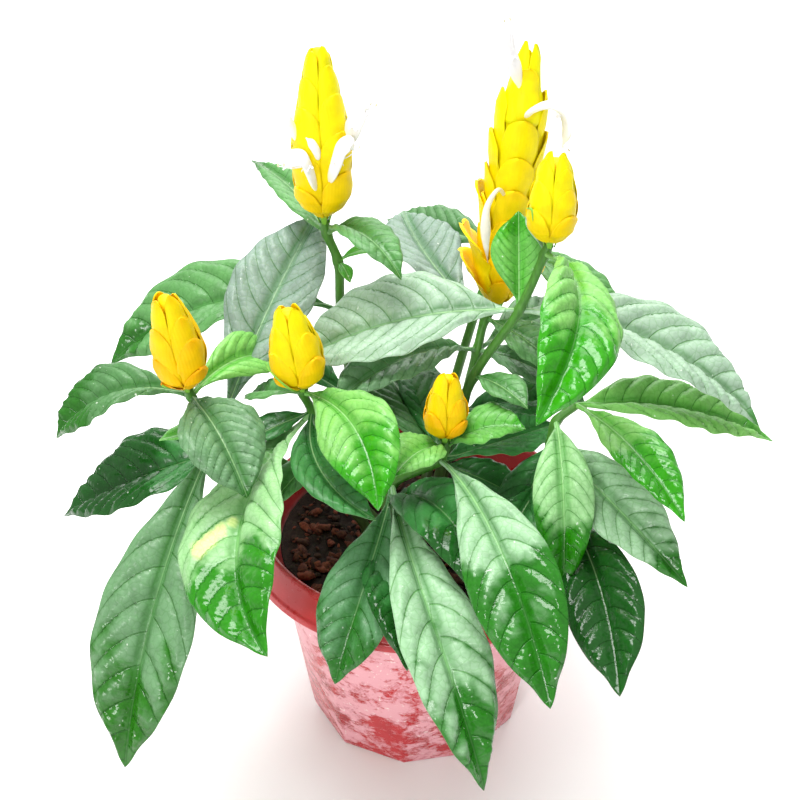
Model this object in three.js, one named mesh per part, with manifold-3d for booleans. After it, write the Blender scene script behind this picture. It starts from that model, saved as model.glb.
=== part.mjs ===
// Potted golden shrimp plant: red plastic pot, soil, eight leafy stems, six bract heads and their white flowers.
// Millimetres, +Z up, origin at the middle of the pot's underside, the front toward -Y.
import * as THREE from "three";
import { mergeVertices } from "three/addons/utils/BufferGeometryUtils.js";
import Module from "manifold-3d";

const wasm = await Module();
wasm.setup();

// Driving sizes
const GAP = 0.3;
const POT = {
  height: 122,
  baseRadius: 54,
  neckRadius: 70,
  neckHeight: 105,
  lipRadius: 77.5,
  skirtRadius: 85,
  wall: 1.9,
  floor: 2.2,
  facets: 10,
  facetTurn: -61,
  facetHeight: 60,
  sides: 30,
};
const DRAIN = { count: 5, ring: 30, radius: 4.5, turn: 36 };
const SOIL = { top: 103, relief: 1.6, chips: 9, chipLength: 11 };
const STEM = { foot: 92, bend: 109, baseRadius: 2.7, topRadius: 2, sides: 6, step: 12 };
const LEAF = { thickness: 0.8, petioleHalf: 1.3, petioleThickness: 2.6, fold: 14, wave: 0.03 };
const BRACT = { thickness: 0.8, halfAngle: 43 };
const CORE = { foot: 2.4, middle: 4.2, top: 1.6, sides: 6 };
const LOWER_FLARE = 1.2;
const SLIVER = 0.02;

// Material colours
const COLOUR = {
  pot: 0xb4453c,
  soil: 0x2e1a10,
  leaf: 0x4f9a48,
  bract: 0xf8e01e,
  corolla: 0xf6f3ea,
};

// Seeded random numbers, so that every run gives the same part
function randomFrom(seed) {
  let state = seed >>> 0;
  return () => {
    state = (state + 0x6d2b79f5) >>> 0;
    let t = state;
    t = Math.imul(t ^ (t >>> 15), t | 1);
    t ^= t + Math.imul(t ^ (t >>> 7), t | 61);
    return ((t ^ (t >>> 14)) >>> 0) / 4294967296;
  };
}

const rad = THREE.MathUtils.degToRad;
const vec = (x, y, z) => new THREE.Vector3(x, y, z);
const of = (list) => vec(list[0], list[1], list[2]);

// A closed body from corner points and triangles, turned to face outward
function solid(points, triangles) {
  let volume = 0;
  for (const [a, b, c] of triangles) {
    volume += points[a].dot(vec(0, 0, 0).crossVectors(points[b], points[c]));
  }
  const order = volume < 0 ? triangles.map(([a, b, c]) => [a, c, b]) : triangles;
  return new wasm.Manifold(
    new wasm.Mesh({
      numProp: 3,
      vertProperties: new Float32Array(points.flatMap((p) => [p.x, p.y, p.z])),
      triVerts: new Uint32Array(order.flat()),
    }),
  );
}

// Rings of equal count joined one to the next, with a flat fan over both ends
function loft(rings) {
  const sides = rings[0].length;
  const points = rings.flat();
  const triangles = [];
  for (let i = 0; i + 1 < rings.length; i++) {
    for (let j = 0; j < sides; j++) {
      const k = (j + 1) % sides;
      const a = i * sides + j;
      const b = i * sides + k;
      const c = (i + 1) * sides + k;
      const d = (i + 1) * sides + j;
      triangles.push([a, b, c], [a, c, d]);
    }
  }
  for (const [ring, turned] of [[0, true], [rings.length - 1, false]]) {
    const centre = vec(0, 0, 0);
    for (const p of rings[ring]) {
      centre.addScaledVector(p, 1 / sides);
    }
    points.push(centre);
    for (let j = 0; j < sides; j++) {
      const a = ring * sides + j;
      const b = ring * sides + ((j + 1) % sides);
      triangles.push(turned ? [points.length - 1, b, a] : [points.length - 1, a, b]);
    }
  }
  return solid(points, triangles);
}

// A blade between a grid of front points and the same grid of back points, both faces split alike
function blade(front, back) {
  const rows = front.length;
  const columns = front[0].length;
  const points = [...front.flat(), ...back.flat()];
  const f = (i, j) => i * columns + j;
  const b = (i, j) => rows * columns + i * columns + j;
  const triangles = [];
  for (let i = 0; i + 1 < rows; i++) {
    for (let j = 0; j + 1 < columns; j++) {
      const corners = [[i, j], [i + 1, j], [i + 1, j + 1], [i, j + 1]];
      const half = j < (columns - 1) / 2;
      const split = half ? [[0, 1, 2], [0, 2, 3]] : [[0, 1, 3], [1, 2, 3]];
      for (const [p, q, r] of split) {
        triangles.push([f(...corners[p]), f(...corners[q]), f(...corners[r])]);
        triangles.push([b(...corners[p]), b(...corners[r]), b(...corners[q])]);
      }
    }
    for (const [j, turned] of [[0, false], [columns - 1, true]]) {
      const quad = [b(i, j), b(i + 1, j), f(i + 1, j), f(i, j)];
      pushQuad(triangles, quad, turned);
    }
  }
  for (let j = 0; j + 1 < columns; j++) {
    for (const [i, turned] of [[0, true], [rows - 1, false]]) {
      const quad = [b(i, j), b(i, j + 1), f(i, j + 1), f(i, j)];
      pushQuad(triangles, quad, turned);
    }
  }
  return solid(points, triangles);
}

function pushQuad(triangles, [a, b, c, d], turned) {
  if (turned) {
    triangles.push([a, c, b], [a, d, c]);
  } else {
    triangles.push([a, b, c], [a, c, d]);
  }
}

// Rings across a path, each one half its width and half its thickness wide, carried along without twist
function ringsAlong(path, widths, thicknesses, sides, start = vec(1, 0, 0)) {
  const rings = [];
  let across = start.clone();
  for (let i = 0; i < path.length; i++) {
    const ahead = path[Math.min(i + 1, path.length - 1)];
    const behind = path[Math.max(i - 1, 0)];
    const along = vec(0, 0, 0).subVectors(ahead, behind).normalize();
    across.addScaledVector(along, -across.dot(along)).normalize();
    const up = vec(0, 0, 0).crossVectors(along, across);
    const ring = [];
    for (let j = 0; j < sides; j++) {
      const a = (2 * Math.PI * j) / sides;
      const p = path[i].clone();
      p.addScaledVector(across, widths[i] * Math.cos(a));
      p.addScaledVector(up, thicknesses[i] * Math.sin(a));
      ring.push(p);
    }
    rings.push(ring);
    across = across.clone();
  }
  return rings;
}

function straightPrism(x, y, low, high, radius, sides) {
  const rings = [low, high].map((z) => {
    return Array.from({ length: sides }, (_, j) => {
      const a = (2 * Math.PI * (j + 0.5)) / sides;
      return vec(x + radius * Math.cos(a), y + radius * Math.sin(a), z);
    });
  });
  return loft(rings);
}

// The pot's round wall turns into ten flat facets toward its base
function potRing(radius, z) {
  const share = Math.max(0, 1 - z / POT.facetHeight);
  const facet = 360 / POT.facets;
  return Array.from({ length: POT.sides }, (_, j) => {
    const turn = (360 * j) / POT.sides;
    const fromMiddle = rad((turn % facet) - facet / 2);
    const flat = Math.cos(rad(facet / 2)) / Math.cos(fromMiddle);
    const r = radius * (1 - share + share * flat);
    const a = rad(POT.facetTurn + turn);
    return vec(r * Math.cos(a), r * Math.sin(a), z);
  });
}

const wallRadius = (z) => POT.baseRadius + ((POT.neckRadius - POT.baseRadius) * z) / POT.neckHeight;
const innerRadius = (z) => wallRadius(z) - POT.wall;

function makePot() {
  const neck = POT.neckHeight;
  const profile = [
    [POT.baseRadius - 0.8, 0],
    [POT.baseRadius, 1],
    [wallRadius(POT.facetHeight), POT.facetHeight],
    [wallRadius(neck), neck],
    [75.4, 118.6],
    [76.7, 118.8],
    [POT.skirtRadius - POT.wall, neck + 0.4],
    [POT.skirtRadius - 0.6, neck],
    [POT.skirtRadius, neck + 0.7],
    [POT.lipRadius + 0.9, POT.height - 1.2],
    [POT.lipRadius, POT.height],
    [POT.lipRadius - 1.4, POT.height],
    [74.6, 120],
    [innerRadius(SOIL.top + 1), SOIL.top + 1],
    [innerRadius(POT.facetHeight), POT.facetHeight],
    [innerRadius(POT.floor), POT.floor],
  ];
  let pot = loft(profile.map(([r, z]) => potRing(r, z)));
  for (let i = 0; i < DRAIN.count; i++) {
    const a = rad(DRAIN.turn + (360 * i) / DRAIN.count);
    const x = DRAIN.ring * Math.cos(a);
    const y = DRAIN.ring * Math.sin(a);
    pot = pot.subtract(straightPrism(x, y, -1, POT.floor + 1, DRAIN.radius, 12));
  }
  return pot;
}

// Soil with a rough top, bark chips half sunk in it and a plain hole for each stem
function makeSoil() {
  const random = randomFrom(17);
  const rings = [];
  for (const r of [18, 38, 58]) {
    const ring = potRing(r, SOIL.top);
    for (const p of ring) {
      p.z += SOIL.relief * (random() - 0.5);
    }
    rings.push(ring);
  }
  for (const z of [SOIL.top - 1, POT.facetHeight, POT.floor + GAP]) {
    rings.push(potRing(innerRadius(z) - GAP, z));
  }
  let soil = loft(rings);
  for (let i = 0; i < SOIL.chips; i++) {
    const a = 2 * Math.PI * random();
    const r = 58 * Math.sqrt(random());
    const size = SOIL.chipLength * (0.6 + 0.5 * random());
    const lie = new THREE.Euler(random() - 0.5, random() - 0.5, 6 * random());
    const corners = [];
    for (const [x, y] of [[-1, -0.7], [0.9, -0.8], [1, 0.5], [-0.7, 0.8]]) {
      corners.push([x, y]);
    }
    const chip = [-0.5, 0.5].map((level) => {
      return corners.map(([x, y]) => {
        const p = vec(x * size * 0.5, y * size * 0.3, level * size * 0.3).applyEuler(lie);
        return p.add(vec(r * Math.cos(a), r * Math.sin(a), SOIL.top + 0.4));
      });
    });
    soil = soil.add(loft(chip));
  }
  for (const stem of Object.values(STEMS)) {
    const [x, y] = stem[0];
    const radius = (STEM.baseRadius + GAP) / Math.cos(Math.PI / 10);
    soil = soil.subtract(straightPrism(x, y, STEM.foot - GAP, SOIL.top + 12, radius, 10));
  }
  return soil;
}

// Node points of each stem from its foot in the soil to the base of its head
const STEMS = {
  left_back: [[-14, 22], [-30, 37, 160], [-37, 43, 210], [-38, 47, 236], [-43, 49, 250], [-44, 50, 257]],
  back: [[10, 22], [22, 30, 160], [29, 35, 193], [33, 42, 207], [38, 46, 212]],
  right_centre: [[6, 2], [12, 0, 150], [26, 0, 202], [46, 5, 235], [57, 10, 262], [59, 11, 267]],
  far_left: [[-26, 4], [-60, -4, 150], [-78, -7, 167], [-92, -10, 181], [-104, -18, 203], [-105, -19, 209]],
  left_centre: [[-14, -6], [-35, -10, 145], [-42, -10, 165], [-49, -12, 190], [-53, -15, 203], [-53, -15, 206]],
  front: [[-6, -14], [-14, -22, 130], [-12, -25, 157], [10, -32, 177], [12, -32, 184], [12, -32, 190]],
  right: [[18, -6], [42, -20, 135], [59, -25, 160], [61, -26, 182], [63, -25, 194], [72, -22, 201]],
  rear: [[4, 34], [18, 62, 150], [32, 85, 190], [42, 100, 212]],
};

// Leaves: stem point, heading, rise, droop, swing (degrees), length, width, roll, share of the length at the belly
const LEAVES = {
  left_back: [
    [4, 113, 9, 18, 12, 84, 25, 5, 0.4],
    [4, -48, 44, 85, -7, 62, 26, -5, 0.5],
    [3, 5, 35, 40, 0, 25, 11, 0, 0.56],
    [3, -60, 5, 60, 0, 14, 7, 0, 0.56],
    [2, 142, 1, 42, 57, 136, 54, -13, 0.6],
    [1, 135, 12, 60, 0, 115, 40, 0, 0.56],
  ],
  back: [
    [3, 125, 5, 5, -25, 105, 40, 0, 0.65],
    [3, -45, 6, 31, 0, 55, 28, 0, 0.56],
    [2, 40, 12, 50, 5, 90, 34, 0, 0.56],
    [2, 215, 30, 55, 5, 90, 36, 0, 0.56],
    [2, -25, 8, 50, 0, 62, 30, 0, 0.5],
    [1, -5, 18, 15, 0, 55, 34, 0, 0.5],
  ],
  right_centre: [
    [1, 38, 14, 20, 0, 80, 38, -10, 0.5],
    [3, 174, 1, 42, 0, 115, 52, -18, 0.54],
    [3, 5, -4, 40, -31, 129, 50, 3, 0.5],
    [4, -63, 20, 56, -66, 121, 40, -30, 0.56],
    [3, 90, 58, 14, 0, 46, 27, 0, 0.58],
    [4, 98, 35, 10, 0, 28, 14, 0, 0.56],
    [2, -48, 22, 44, 0, 36, 20, 0, 0.56],
    [1, -20, -4, 24, 0, 46, 28, 0, 0.5],
  ],
  far_left: [
    [4, 154, 9, 65, 42, 78, 36, -9, 0.6],
    [4, 52, 27, 90, -5, 76, 26, 30, 0.55],
    [4, -62, 14, 70, 5, 63, 40, 4, 0.53],
    [3, 233, 20, 8, -15, 38, 14, 0, 0.56],
    [3, 248, -20, 52, 0, 169, 50, -2, 0.61],
    [3, 66, 41, 18, -4, 119, 46, 5, 0.6],
    [2, 187, -8, 33, -14, 105, 50, -8, 0.52],
  ],
  left_centre: [
    [4, -43, 21, 62, -41, 84, 37, 20, 0.56],
    [4, 144, -16, 22, 0, 39, 24, 0, 0.56],
    [3, 223, -19, -10, 80, 143, 56, 30, 0.53],
    [3, 202, -6, 20, 0, 40, 20, 0, 0.56],
    [3, -99, -5, 2, 65, 80, 28, 0, 0.56],
    [2, 231, 14, 50, 0, 44, 18, 0, 0.56],
  ],
  front: [
    [4, 226, 42, 66, 10, 39, 29, 0, 0.56],
    [4, 8, 44, 52, -20, 40, 30, 0, 0.56],
    [3, -70, 22, 76, 0, 145, 41, 22, 0.63],
    [3, 32, -4, 5, 5, 70, 34, 0, 0.56],
    [3, 114, 20, 36, -4, 88, 42, 0, 0.5],
    [3, 100, 21, 30, 0, 76, 24, 0, 0.56],
    [2, 264, 4, 68, -26, 105, 36, -5, 0.65],
    [2, -86, 16, 86, 31, 166, 40, -4, 0.62],
    [1, -58, 78, 135, -5, 128, 36, 10, 0.56],
    [1, -85, 30, 59, 0, 105, 34, 0, 0.56],
  ],
  right: [
    [3, 215, -62, 15, 0, 84, 34, 0, 0.45],
    [2, 240, 0, 55, 0, 62, 28, 0, 0.56],
    [4, -89, 10, 92, 0, 87, 28, 4, 0.53],
    [3, -60, 2, 38, 20, 95, 36, 12, 0.47],
    [5, -59, 15, 40, -5, 87, 27, 0, 0.56],
    [5, 24, -9, 23, -22, 109, 37, 6, 0.48],
    [2, -67, 3, 28, -22, 125, 36, 20, 0.65],
  ],
  rear: [
    [3, 141, -2, 16, -7, 79, 32, -10, 0.56],
    [3, -35, 5, 40, 0, 80, 30, 0, 0.56],
    [2, 80, 5, 65, 0, 105, 38, 0, 0.56],
    [2, 190, -4, 35, 0, 80, 34, 0, 0.56],
  ],
};

// Bract heads: base, tip, radius, azimuth of the first rank, length of a full bract, outline, and the height of
// each pair's points
const HEADS = {
  left_back: {
    base: [-44, 50, 257], tip: [-45, 52, 346], radius: 14.5, turn: -45, span: 28, shape: "lance",
    pairs: [22, 30, 42, 50, 61, 67, 74, 80, 88],
  },
  back: {
    base: [38, 46, 212], tip: [50, 60, 342], radius: 12, turn: 2, span: 28, shape: "column",
    pairs: [18, 26, 34, 42, 50, 58, 65, 75, 87, 101, 116, 131],
  },
  right_centre: {
    base: [59, 11, 267], tip: [60, 12, 314], radius: 11.5, turn: 38, span: 22, shape: "egg",
    pairs: [19, 22, 31, 35, 41, 47],
  },
  far_left: {
    base: [-105, -19, 209], tip: [-111, -30, 268], radius: 13.5, turn: -45, span: 23, shape: "egg",
    pairs: [12, 20, 27, 36, 43, 48, 59],
  },
  left_centre: {
    base: [-53, -15, 206], tip: [-59, -18, 254], radius: 14, turn: -45, span: 22, shape: "egg",
    pairs: [14, 23, 27, 35, 39, 48],
  },
  front: {
    base: [12, -32, 190], tip: [13, -32, 227], radius: 11, turn: 45, span: 19, shape: "egg",
    pairs: [15, 19, 25, 28, 37],
  },
};

// Loose old bracts low on a head: start, length, azimuth, how far they stand off, share of the usual breadth
const OLD_BRACTS = {
  back: [[6, 36, -84, 12, 0.8], [22, 40, -104, 5, 0.8], [0, 25, -100, 9, 0.7], [2, 21, 84, 8, 0.7]],
};
const OUTLINE = {
  lance: [[0, 0.2], [0.06, 0.5], [0.1, 0.85], [0.17, 1], [0.42, 1.05], [0.5, 1], [0.75, 0.67], [0.95, 0.35], [1, 0.2]],
  column: [[0, 0.3], [0.06, 0.7], [0.15, 0.95], [0.66, 1], [0.84, 0.9], [0.9, 0.78], [0.97, 0.5], [1, 0.25]],
  egg: [[0, 0.25], [0.09, 0.64], [0.2, 0.98], [0.33, 1.05], [0.5, 0.99], [0.76, 0.74], [0.88, 0.54], [1, 0.2]],
};

// White flowers: head they stand in, then their middle line from inside the head to the lip
const FLOWERS = {
  flower_left_low: ["left_back", [[-45, 49, 269], [-47.7, 38, 283.6], [-50, 34, 293], [-52.4, 32, 299], [-57.3, 31, 299], [-61.2, 32, 293]]],
  flower_right_low: ["left_back", [[-44, 49, 273], [-39.8, 38, 288], [-36.8, 35, 296.4], [-34.4, 34, 303], [-30.8, 34, 305.5], [-29, 35, 300.5]]],
  flower_bud: ["left_back", [[-44.6, 49.5, 283], [-46, 38, 299], [-48.4, 36, 304.5], [-50.5, 35, 307.5]]],
  flower_far_right: ["left_back", [[-42, 50, 288], [-30.6, 44, 306], [-27.7, 43, 313.4], [-25, 43, 318.8], [-21.4, 44, 316.8]]],
  flower_far_left: ["left_back", [[-47, 50, 290], [-56, 44, 305.4], [-58.8, 43, 312], [-60.4, 43, 317.3]]],
  flower_top: ["back", [[47, 55, 318], [43.8, 48, 332.5], [40.6, 46, 342], [39, 46, 349.7], [39.3, 46, 356.3]]],
  flower_right: ["back", [[47, 54, 305], [52, 42, 318.3], [58, 40, 321.3], [64, 40, 317.8], [66.5, 38, 310], [64.5, 36, 302]]],
  flower_wilted: ["back", [[42.6, 50, 266], [35.8, 33, 282], [31.5, 30.5, 275], [31, 29.5, 261], [32.4, 29, 246]]],
};

// Leaf half width by the share of its length
function leafHalf(u, width, belly) {
  const k = Math.log(0.5) / Math.log(belly);
  const swell = Math.max(0, Math.sin(Math.PI * u ** k));
  const half = 0.5 * width * swell ** (1.35 - 0.45 * u);
  const least = u < 0.5 ? LEAF.petioleHalf : 0.5;
  return Math.max(half, least);
}

function makeLeaf(root, row, random) {
  const [, heading, rise, droop, swing, length, width, roll, belly] = row;
  const rows = length > 140 ? 7 : length > 80 ? 6 : length > 60 ? 5 : 4;
  const columns = length > 110 ? 4 : 2;
  const steps = 48;
  const spine = [root.clone()];
  for (let i = 0; i < steps; i++) {
    const s = (i + 0.5) / steps;
    const e = rad(rise - droop * s);
    const h = rad(heading + swing * s);
    const ahead = vec(Math.cos(e) * Math.cos(h), Math.cos(e) * Math.sin(h), Math.sin(e));
    spine.push(spine[i].clone().addScaledVector(ahead, length / steps));
  }
  const phase = 2 * Math.PI * random();
  const wave = LEAF.wave * width * (0.6 + 0.4 * random());
  const front = [];
  const back = [];
  for (let i = 0; i <= rows; i++) {
    const u = Math.min(1, (i / rows) ** 1.1);
    const at = Math.round(u * steps);
    const s = at / steps;
    const e = rad(rise - droop * s);
    const h = rad(heading + swing * s);
    const ahead = vec(Math.cos(e) * Math.cos(h), Math.cos(e) * Math.sin(h), Math.sin(e));
    const level = vec(-Math.sin(h), Math.cos(h), 0);
    const normal = vec(0, 0, 0).crossVectors(ahead, level);
    const side = level.clone().multiplyScalar(Math.cos(rad(roll))).addScaledVector(normal, Math.sin(rad(roll)));
    const up = normal.clone().multiplyScalar(Math.cos(rad(roll))).addScaledVector(level, -Math.sin(rad(roll)));
    const half = leafHalf(s, width, belly);
    const petiole = Math.max(0, 1 - s / 0.14);
    const thickness = LEAF.thickness + (LEAF.petioleThickness - LEAF.thickness) * petiole;
    const frontRow = [];
    const backRow = [];
    for (let j = 0; j <= columns; j++) {
      const v = (2 * j) / columns - 1;
      const ripple = wave * v * v * Math.sin(phase + 11 * s + (v > 0 ? 1.6 : 0)) * Math.sin(Math.PI * s);
      const lift = half * Math.abs(v) * Math.sin(rad(LEAF.fold)) * (1 - petiole) + ripple;
      const p = spine[at].clone();
      p.addScaledVector(side, half * v * Math.cos(rad(LEAF.fold)));
      p.addScaledVector(up, lift);
      frontRow.push(p.clone().addScaledVector(up, thickness / 2));
      backRow.push(p.clone().addScaledVector(up, -thickness / 2));
    }
    front.push(frontRow);
    back.push(backRow);
  }
  return blade(front, back);
}

function makeStem(name) {
  const nodes = STEMS[name];
  const [x, y] = nodes[0];
  const stations = [vec(x, y, STEM.foot), vec(x, y, STEM.bend), ...nodes.slice(1).map(of)];
  const head = HEADS[name];
  const end = [];
  if (head) {
    const axis = of(head.tip).sub(of(head.base)).normalize();
    stations.pop();
    stations.push(of(head.base).addScaledVector(axis, -3));
    end.push(of(head.base).addScaledVector(axis, -GAP));
  }
  const bends = new THREE.CatmullRomCurve3(stations.slice(1), false, "centripetal");
  const count = Math.round(bends.getLength() / STEM.step);
  const path = [stations[0], ...bends.getSpacedPoints(count), ...end];
  const radii = path.map((p, i) => {
    const share = i / (path.length - 1);
    return STEM.baseRadius + (STEM.topRadius - STEM.baseRadius) * share;
  });
  return loft(ringsAlong(path, radii, radii, STEM.sides));
}

function makeShoot(name, seed) {
  const random = randomFrom(seed);
  let shoot = makeStem(name);
  for (const row of LEAVES[name]) {
    shoot = shoot.add(makeLeaf(of(STEMS[name][row[0]]), row, random));
  }
  return shoot;
}

function outlineAt(list, q) {
  for (let i = 0; i + 1 < list.length; i++) {
    const [q0, r0] = list[i];
    const [q1, r1] = list[i + 1];
    if (q <= q1) {
      return r0 + ((r1 - r0) * (q - q0)) / (q1 - q0);
    }
  }
  return list[list.length - 1][1];
}

// Frame of a head: along its axis, toward the front, and to the side
function headFrame(head) {
  const base = of(head.base);
  const axis = of(head.tip).sub(base);
  const length = axis.length();
  axis.normalize();
  const front = vec(0, -1, 0).addScaledVector(axis, axis.y).normalize();
  const side = vec(0, 0, 0).crossVectors(axis, front);
  const at = (s, r, azimuth) => {
    const a = rad(azimuth);
    const p = base.clone().addScaledVector(axis, s);
    return p.addScaledVector(front, r * Math.cos(a)).addScaledVector(side, r * Math.sin(a));
  };
  return { length, at };
}

// One bract: rises out of the core, swells over the outline, and closes in at its point
function makeBract(head, frame, start, length, azimuth, flare, breadth = 1) {
  const list = OUTLINE[head.shape];
  const rows = [0, 0.36, 1];
  const widths = [0.3, 1, 0.5];
  const swells = [0, 0.88, 1];
  const front = [];
  const back = [];
  rows.forEach((u, i) => {
    const s = start + length * u;
    const outline = head.radius * outlineAt(list, Math.min(1, s / frame.length));
    const out = Math.max(outline, 2.2) + flare * u * u;
    const r = 2 + (out - 2) * swells[i];
    const frontRow = [];
    const backRow = [];
    for (const v of [-1, 0, 1]) {
      const a = azimuth + v * BRACT.halfAngle * widths[i] * breadth;
      const edge = v * v * 0.5 * swells[i];
      frontRow.push(frame.at(s, r + edge, a));
      backRow.push(frame.at(s, Math.max(r + edge - BRACT.thickness, 0.6), a));
    }
    front.push(frontRow);
    back.push(backRow);
  });
  return blade(front, back);
}

function makeHead(name, seed) {
  const random = randomFrom(seed);
  const head = HEADS[name];
  const frame = headFrame(head);
  const core = [
    [0, CORE.foot],
    [frame.length * 0.12, CORE.middle],
    [frame.length * 0.7, CORE.middle * 0.75],
    [frame.length * 0.97, CORE.top],
  ];
  let body = loft(core.map(([s, r]) => {
    return Array.from({ length: CORE.sides }, (_, j) => frame.at(s, r, (360 * j) / CORE.sides));
  }));
  head.pairs.forEach((tip, k) => {
    const share = k / (head.pairs.length - 1);
    const length = Math.min(tip - 1.5, head.span * (1 - 0.25 * share));
    for (const half of [0, 180]) {
      const azimuth = head.turn + 90 * k + half + 3 * (random() - 0.5);
      const flare = k < 2 ? LOWER_FLARE : 0;
      body = body.add(makeBract(head, frame, tip - length, length, azimuth, flare));
    }
  });
  for (const old of OLD_BRACTS[name] ?? []) {
    body = body.add(makeBract(head, frame, ...old));
  }
  // The bracts can close in a tiny pocket of air, which is filled by keeping the outer skin alone
  const skins = body.decompose().sort((a, b) => b.volume() - a.volume());
  return skins[0];
}

// A flower tube that widens to a hooded lip; extra is added all round for the opening it needs
function flowerBody(line, extra) {
  const curve = new THREE.CatmullRomCurve3(line.map(of), false, "centripetal");
  const count = 7;
  const path = curve.getSpacedPoints(count);
  const long = line.length > 4;
  const widths = path.map((p, i) => {
    const u = i / count;
    const lip = Math.max(0, Math.sin(Math.PI * Math.min(1, Math.max(0, (u - 0.4) / 0.62))));
    return 1 + (long ? 2.6 : 1) * lip + extra;
  });
  const thicknesses = path.map((p, i) => {
    const u = i / count;
    const lip = Math.max(0, Math.sin(Math.PI * Math.min(1, Math.max(0, (u - 0.4) / 0.62))));
    return 0.9 + 0.7 * lip + extra;
  });
  return loft(ringsAlong(path, thicknesses, widths, 6, vec(0.2, -0.6, 0.8)));
}

// Mesh from a closed body, with its own named material
function meshOf(name, body, colour, roughness) {
  const tidy = body.simplify(SLIVER);
  const mesh = tidy.getMesh();
  const geometry = new THREE.BufferGeometry();
  geometry.setAttribute("position", new THREE.BufferAttribute(Float32Array.from(mesh.vertProperties), 3));
  geometry.setIndex(new THREE.BufferAttribute(Uint32Array.from(mesh.triVerts), 1));
  const made = new THREE.Mesh(mergeVertices(geometry, 1e-3));
  made.material = new THREE.MeshStandardMaterial({ color: colour, roughness, metalness: 0 });
  made.name = name;
  return made;
}

const flowerBodies = Object.entries(FLOWERS).map(([name, [head, line]]) => {
  return { name, head, body: flowerBody(line, 0), room: flowerBody(line, GAP) };
});

const root = new THREE.Group();
root.name = "golden_shrimp_plant";
root.add(meshOf("pot", makePot(), COLOUR.pot, 0.35));
root.add(meshOf("soil", makeSoil(), COLOUR.soil, 0.95));
Object.keys(STEMS).forEach((name, i) => {
  root.add(meshOf(`shoot_${name}`, makeShoot(name, 100 + i), COLOUR.leaf, 0.4));
});
Object.keys(HEADS).forEach((name, i) => {
  let head = makeHead(name, 200 + i);
  for (const flower of flowerBodies.filter((f) => f.head === name)) {
    head = head.subtract(flower.room);
  }
  root.add(meshOf(`head_${name}`, head, COLOUR.bract, 0.55));
});
for (const flower of flowerBodies) {
  root.add(meshOf(flower.name, flower.body, COLOUR.corolla, 0.5));
}

export default root;
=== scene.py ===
"""Potted golden shrimp plant: the look of its pot, soil, leafy stems, bract heads and white flowers."""

import math

import bpy
import numpy as np
from bpy.props import FloatProperty, FloatVectorProperty, IntProperty, PointerProperty
from mathutils import Matrix, Vector, noise


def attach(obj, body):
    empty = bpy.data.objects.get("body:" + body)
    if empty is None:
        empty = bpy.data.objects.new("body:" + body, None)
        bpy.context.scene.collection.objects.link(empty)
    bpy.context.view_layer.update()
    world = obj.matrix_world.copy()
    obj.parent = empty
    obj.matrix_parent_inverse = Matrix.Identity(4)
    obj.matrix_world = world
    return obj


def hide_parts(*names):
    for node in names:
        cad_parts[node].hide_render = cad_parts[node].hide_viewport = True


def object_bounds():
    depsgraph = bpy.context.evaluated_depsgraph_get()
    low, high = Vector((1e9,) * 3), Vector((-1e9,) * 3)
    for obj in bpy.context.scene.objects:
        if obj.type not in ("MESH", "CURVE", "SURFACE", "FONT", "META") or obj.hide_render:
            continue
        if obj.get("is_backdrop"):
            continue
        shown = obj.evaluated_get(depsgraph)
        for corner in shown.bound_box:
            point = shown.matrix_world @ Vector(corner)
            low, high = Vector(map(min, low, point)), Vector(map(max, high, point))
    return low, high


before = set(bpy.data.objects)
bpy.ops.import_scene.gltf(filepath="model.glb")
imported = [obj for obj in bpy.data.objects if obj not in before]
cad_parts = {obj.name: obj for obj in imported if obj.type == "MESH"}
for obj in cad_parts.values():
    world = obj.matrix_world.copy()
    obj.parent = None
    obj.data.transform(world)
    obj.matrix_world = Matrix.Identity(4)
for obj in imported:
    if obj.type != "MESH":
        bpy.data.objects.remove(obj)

bl_info = {
    "name": "Potted golden shrimp plant",
    "version": (1, 0, 0),
    "blender": (4, 5, 0),
    "location": "View3D > Sidebar > Shrimp plant",
    "description": "Builds a potted flowering plant around its packed frame",
    "category": "Add Mesh",
}

MM = 0.001
CAD_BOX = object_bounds()

# The plant's driving sizes, in millimetres and degrees
POT = {
    "height": 122,
    "base_radius": 54,
    "neck_radius": 70,
    "neck_height": 105,
    "lip_radius": 77.5,
    "skirt_radius": 85,
    "hub_radius": 10,
    "wall": 1.9,
    "floor": 2.2,
    "facets": 10,
    "facet_turn": -61,
    "facet_height": 60,
    "sides": 240,
}
DRAIN = {"count": 5, "ring": 30, "radius": 4.5, "turn": 36, "sides": 32}
SOIL = {"top": 103, "rings": 56, "sides": 180, "lump": 6.25, "lump_height": 1.5, "seed": 17}
# A bark chip by its size: half length, half breadth, slip of its layers, and each layer's height and breadth
CHIP = {"long": 0.5, "broad": 0.32, "slip": 0.2, "corners": 6}
CHIP_LAYERS = ((-0.17, 0.8), (-0.1, 1), (0.1, 0.92), (0.16, 0.75))
STEM = {"foot": 92, "bend": 109, "base_radius": 2.7, "top_radius": 2.0, "node_swell": 0.55, "node_reach": 2.6}
LEAF = {
    "thickness": 0.6,
    "petiole_half": 1.3,
    "petiole_thickness": 2.4,
    "fold": 14,
    "wave": 0.03,
    "full_width": 40,
    "least_vein_gap": 4.5,
    "midrib_half": 1.6,
    "midrib_depth": 0.7,
    "ruffle": 0.9,
}
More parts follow.
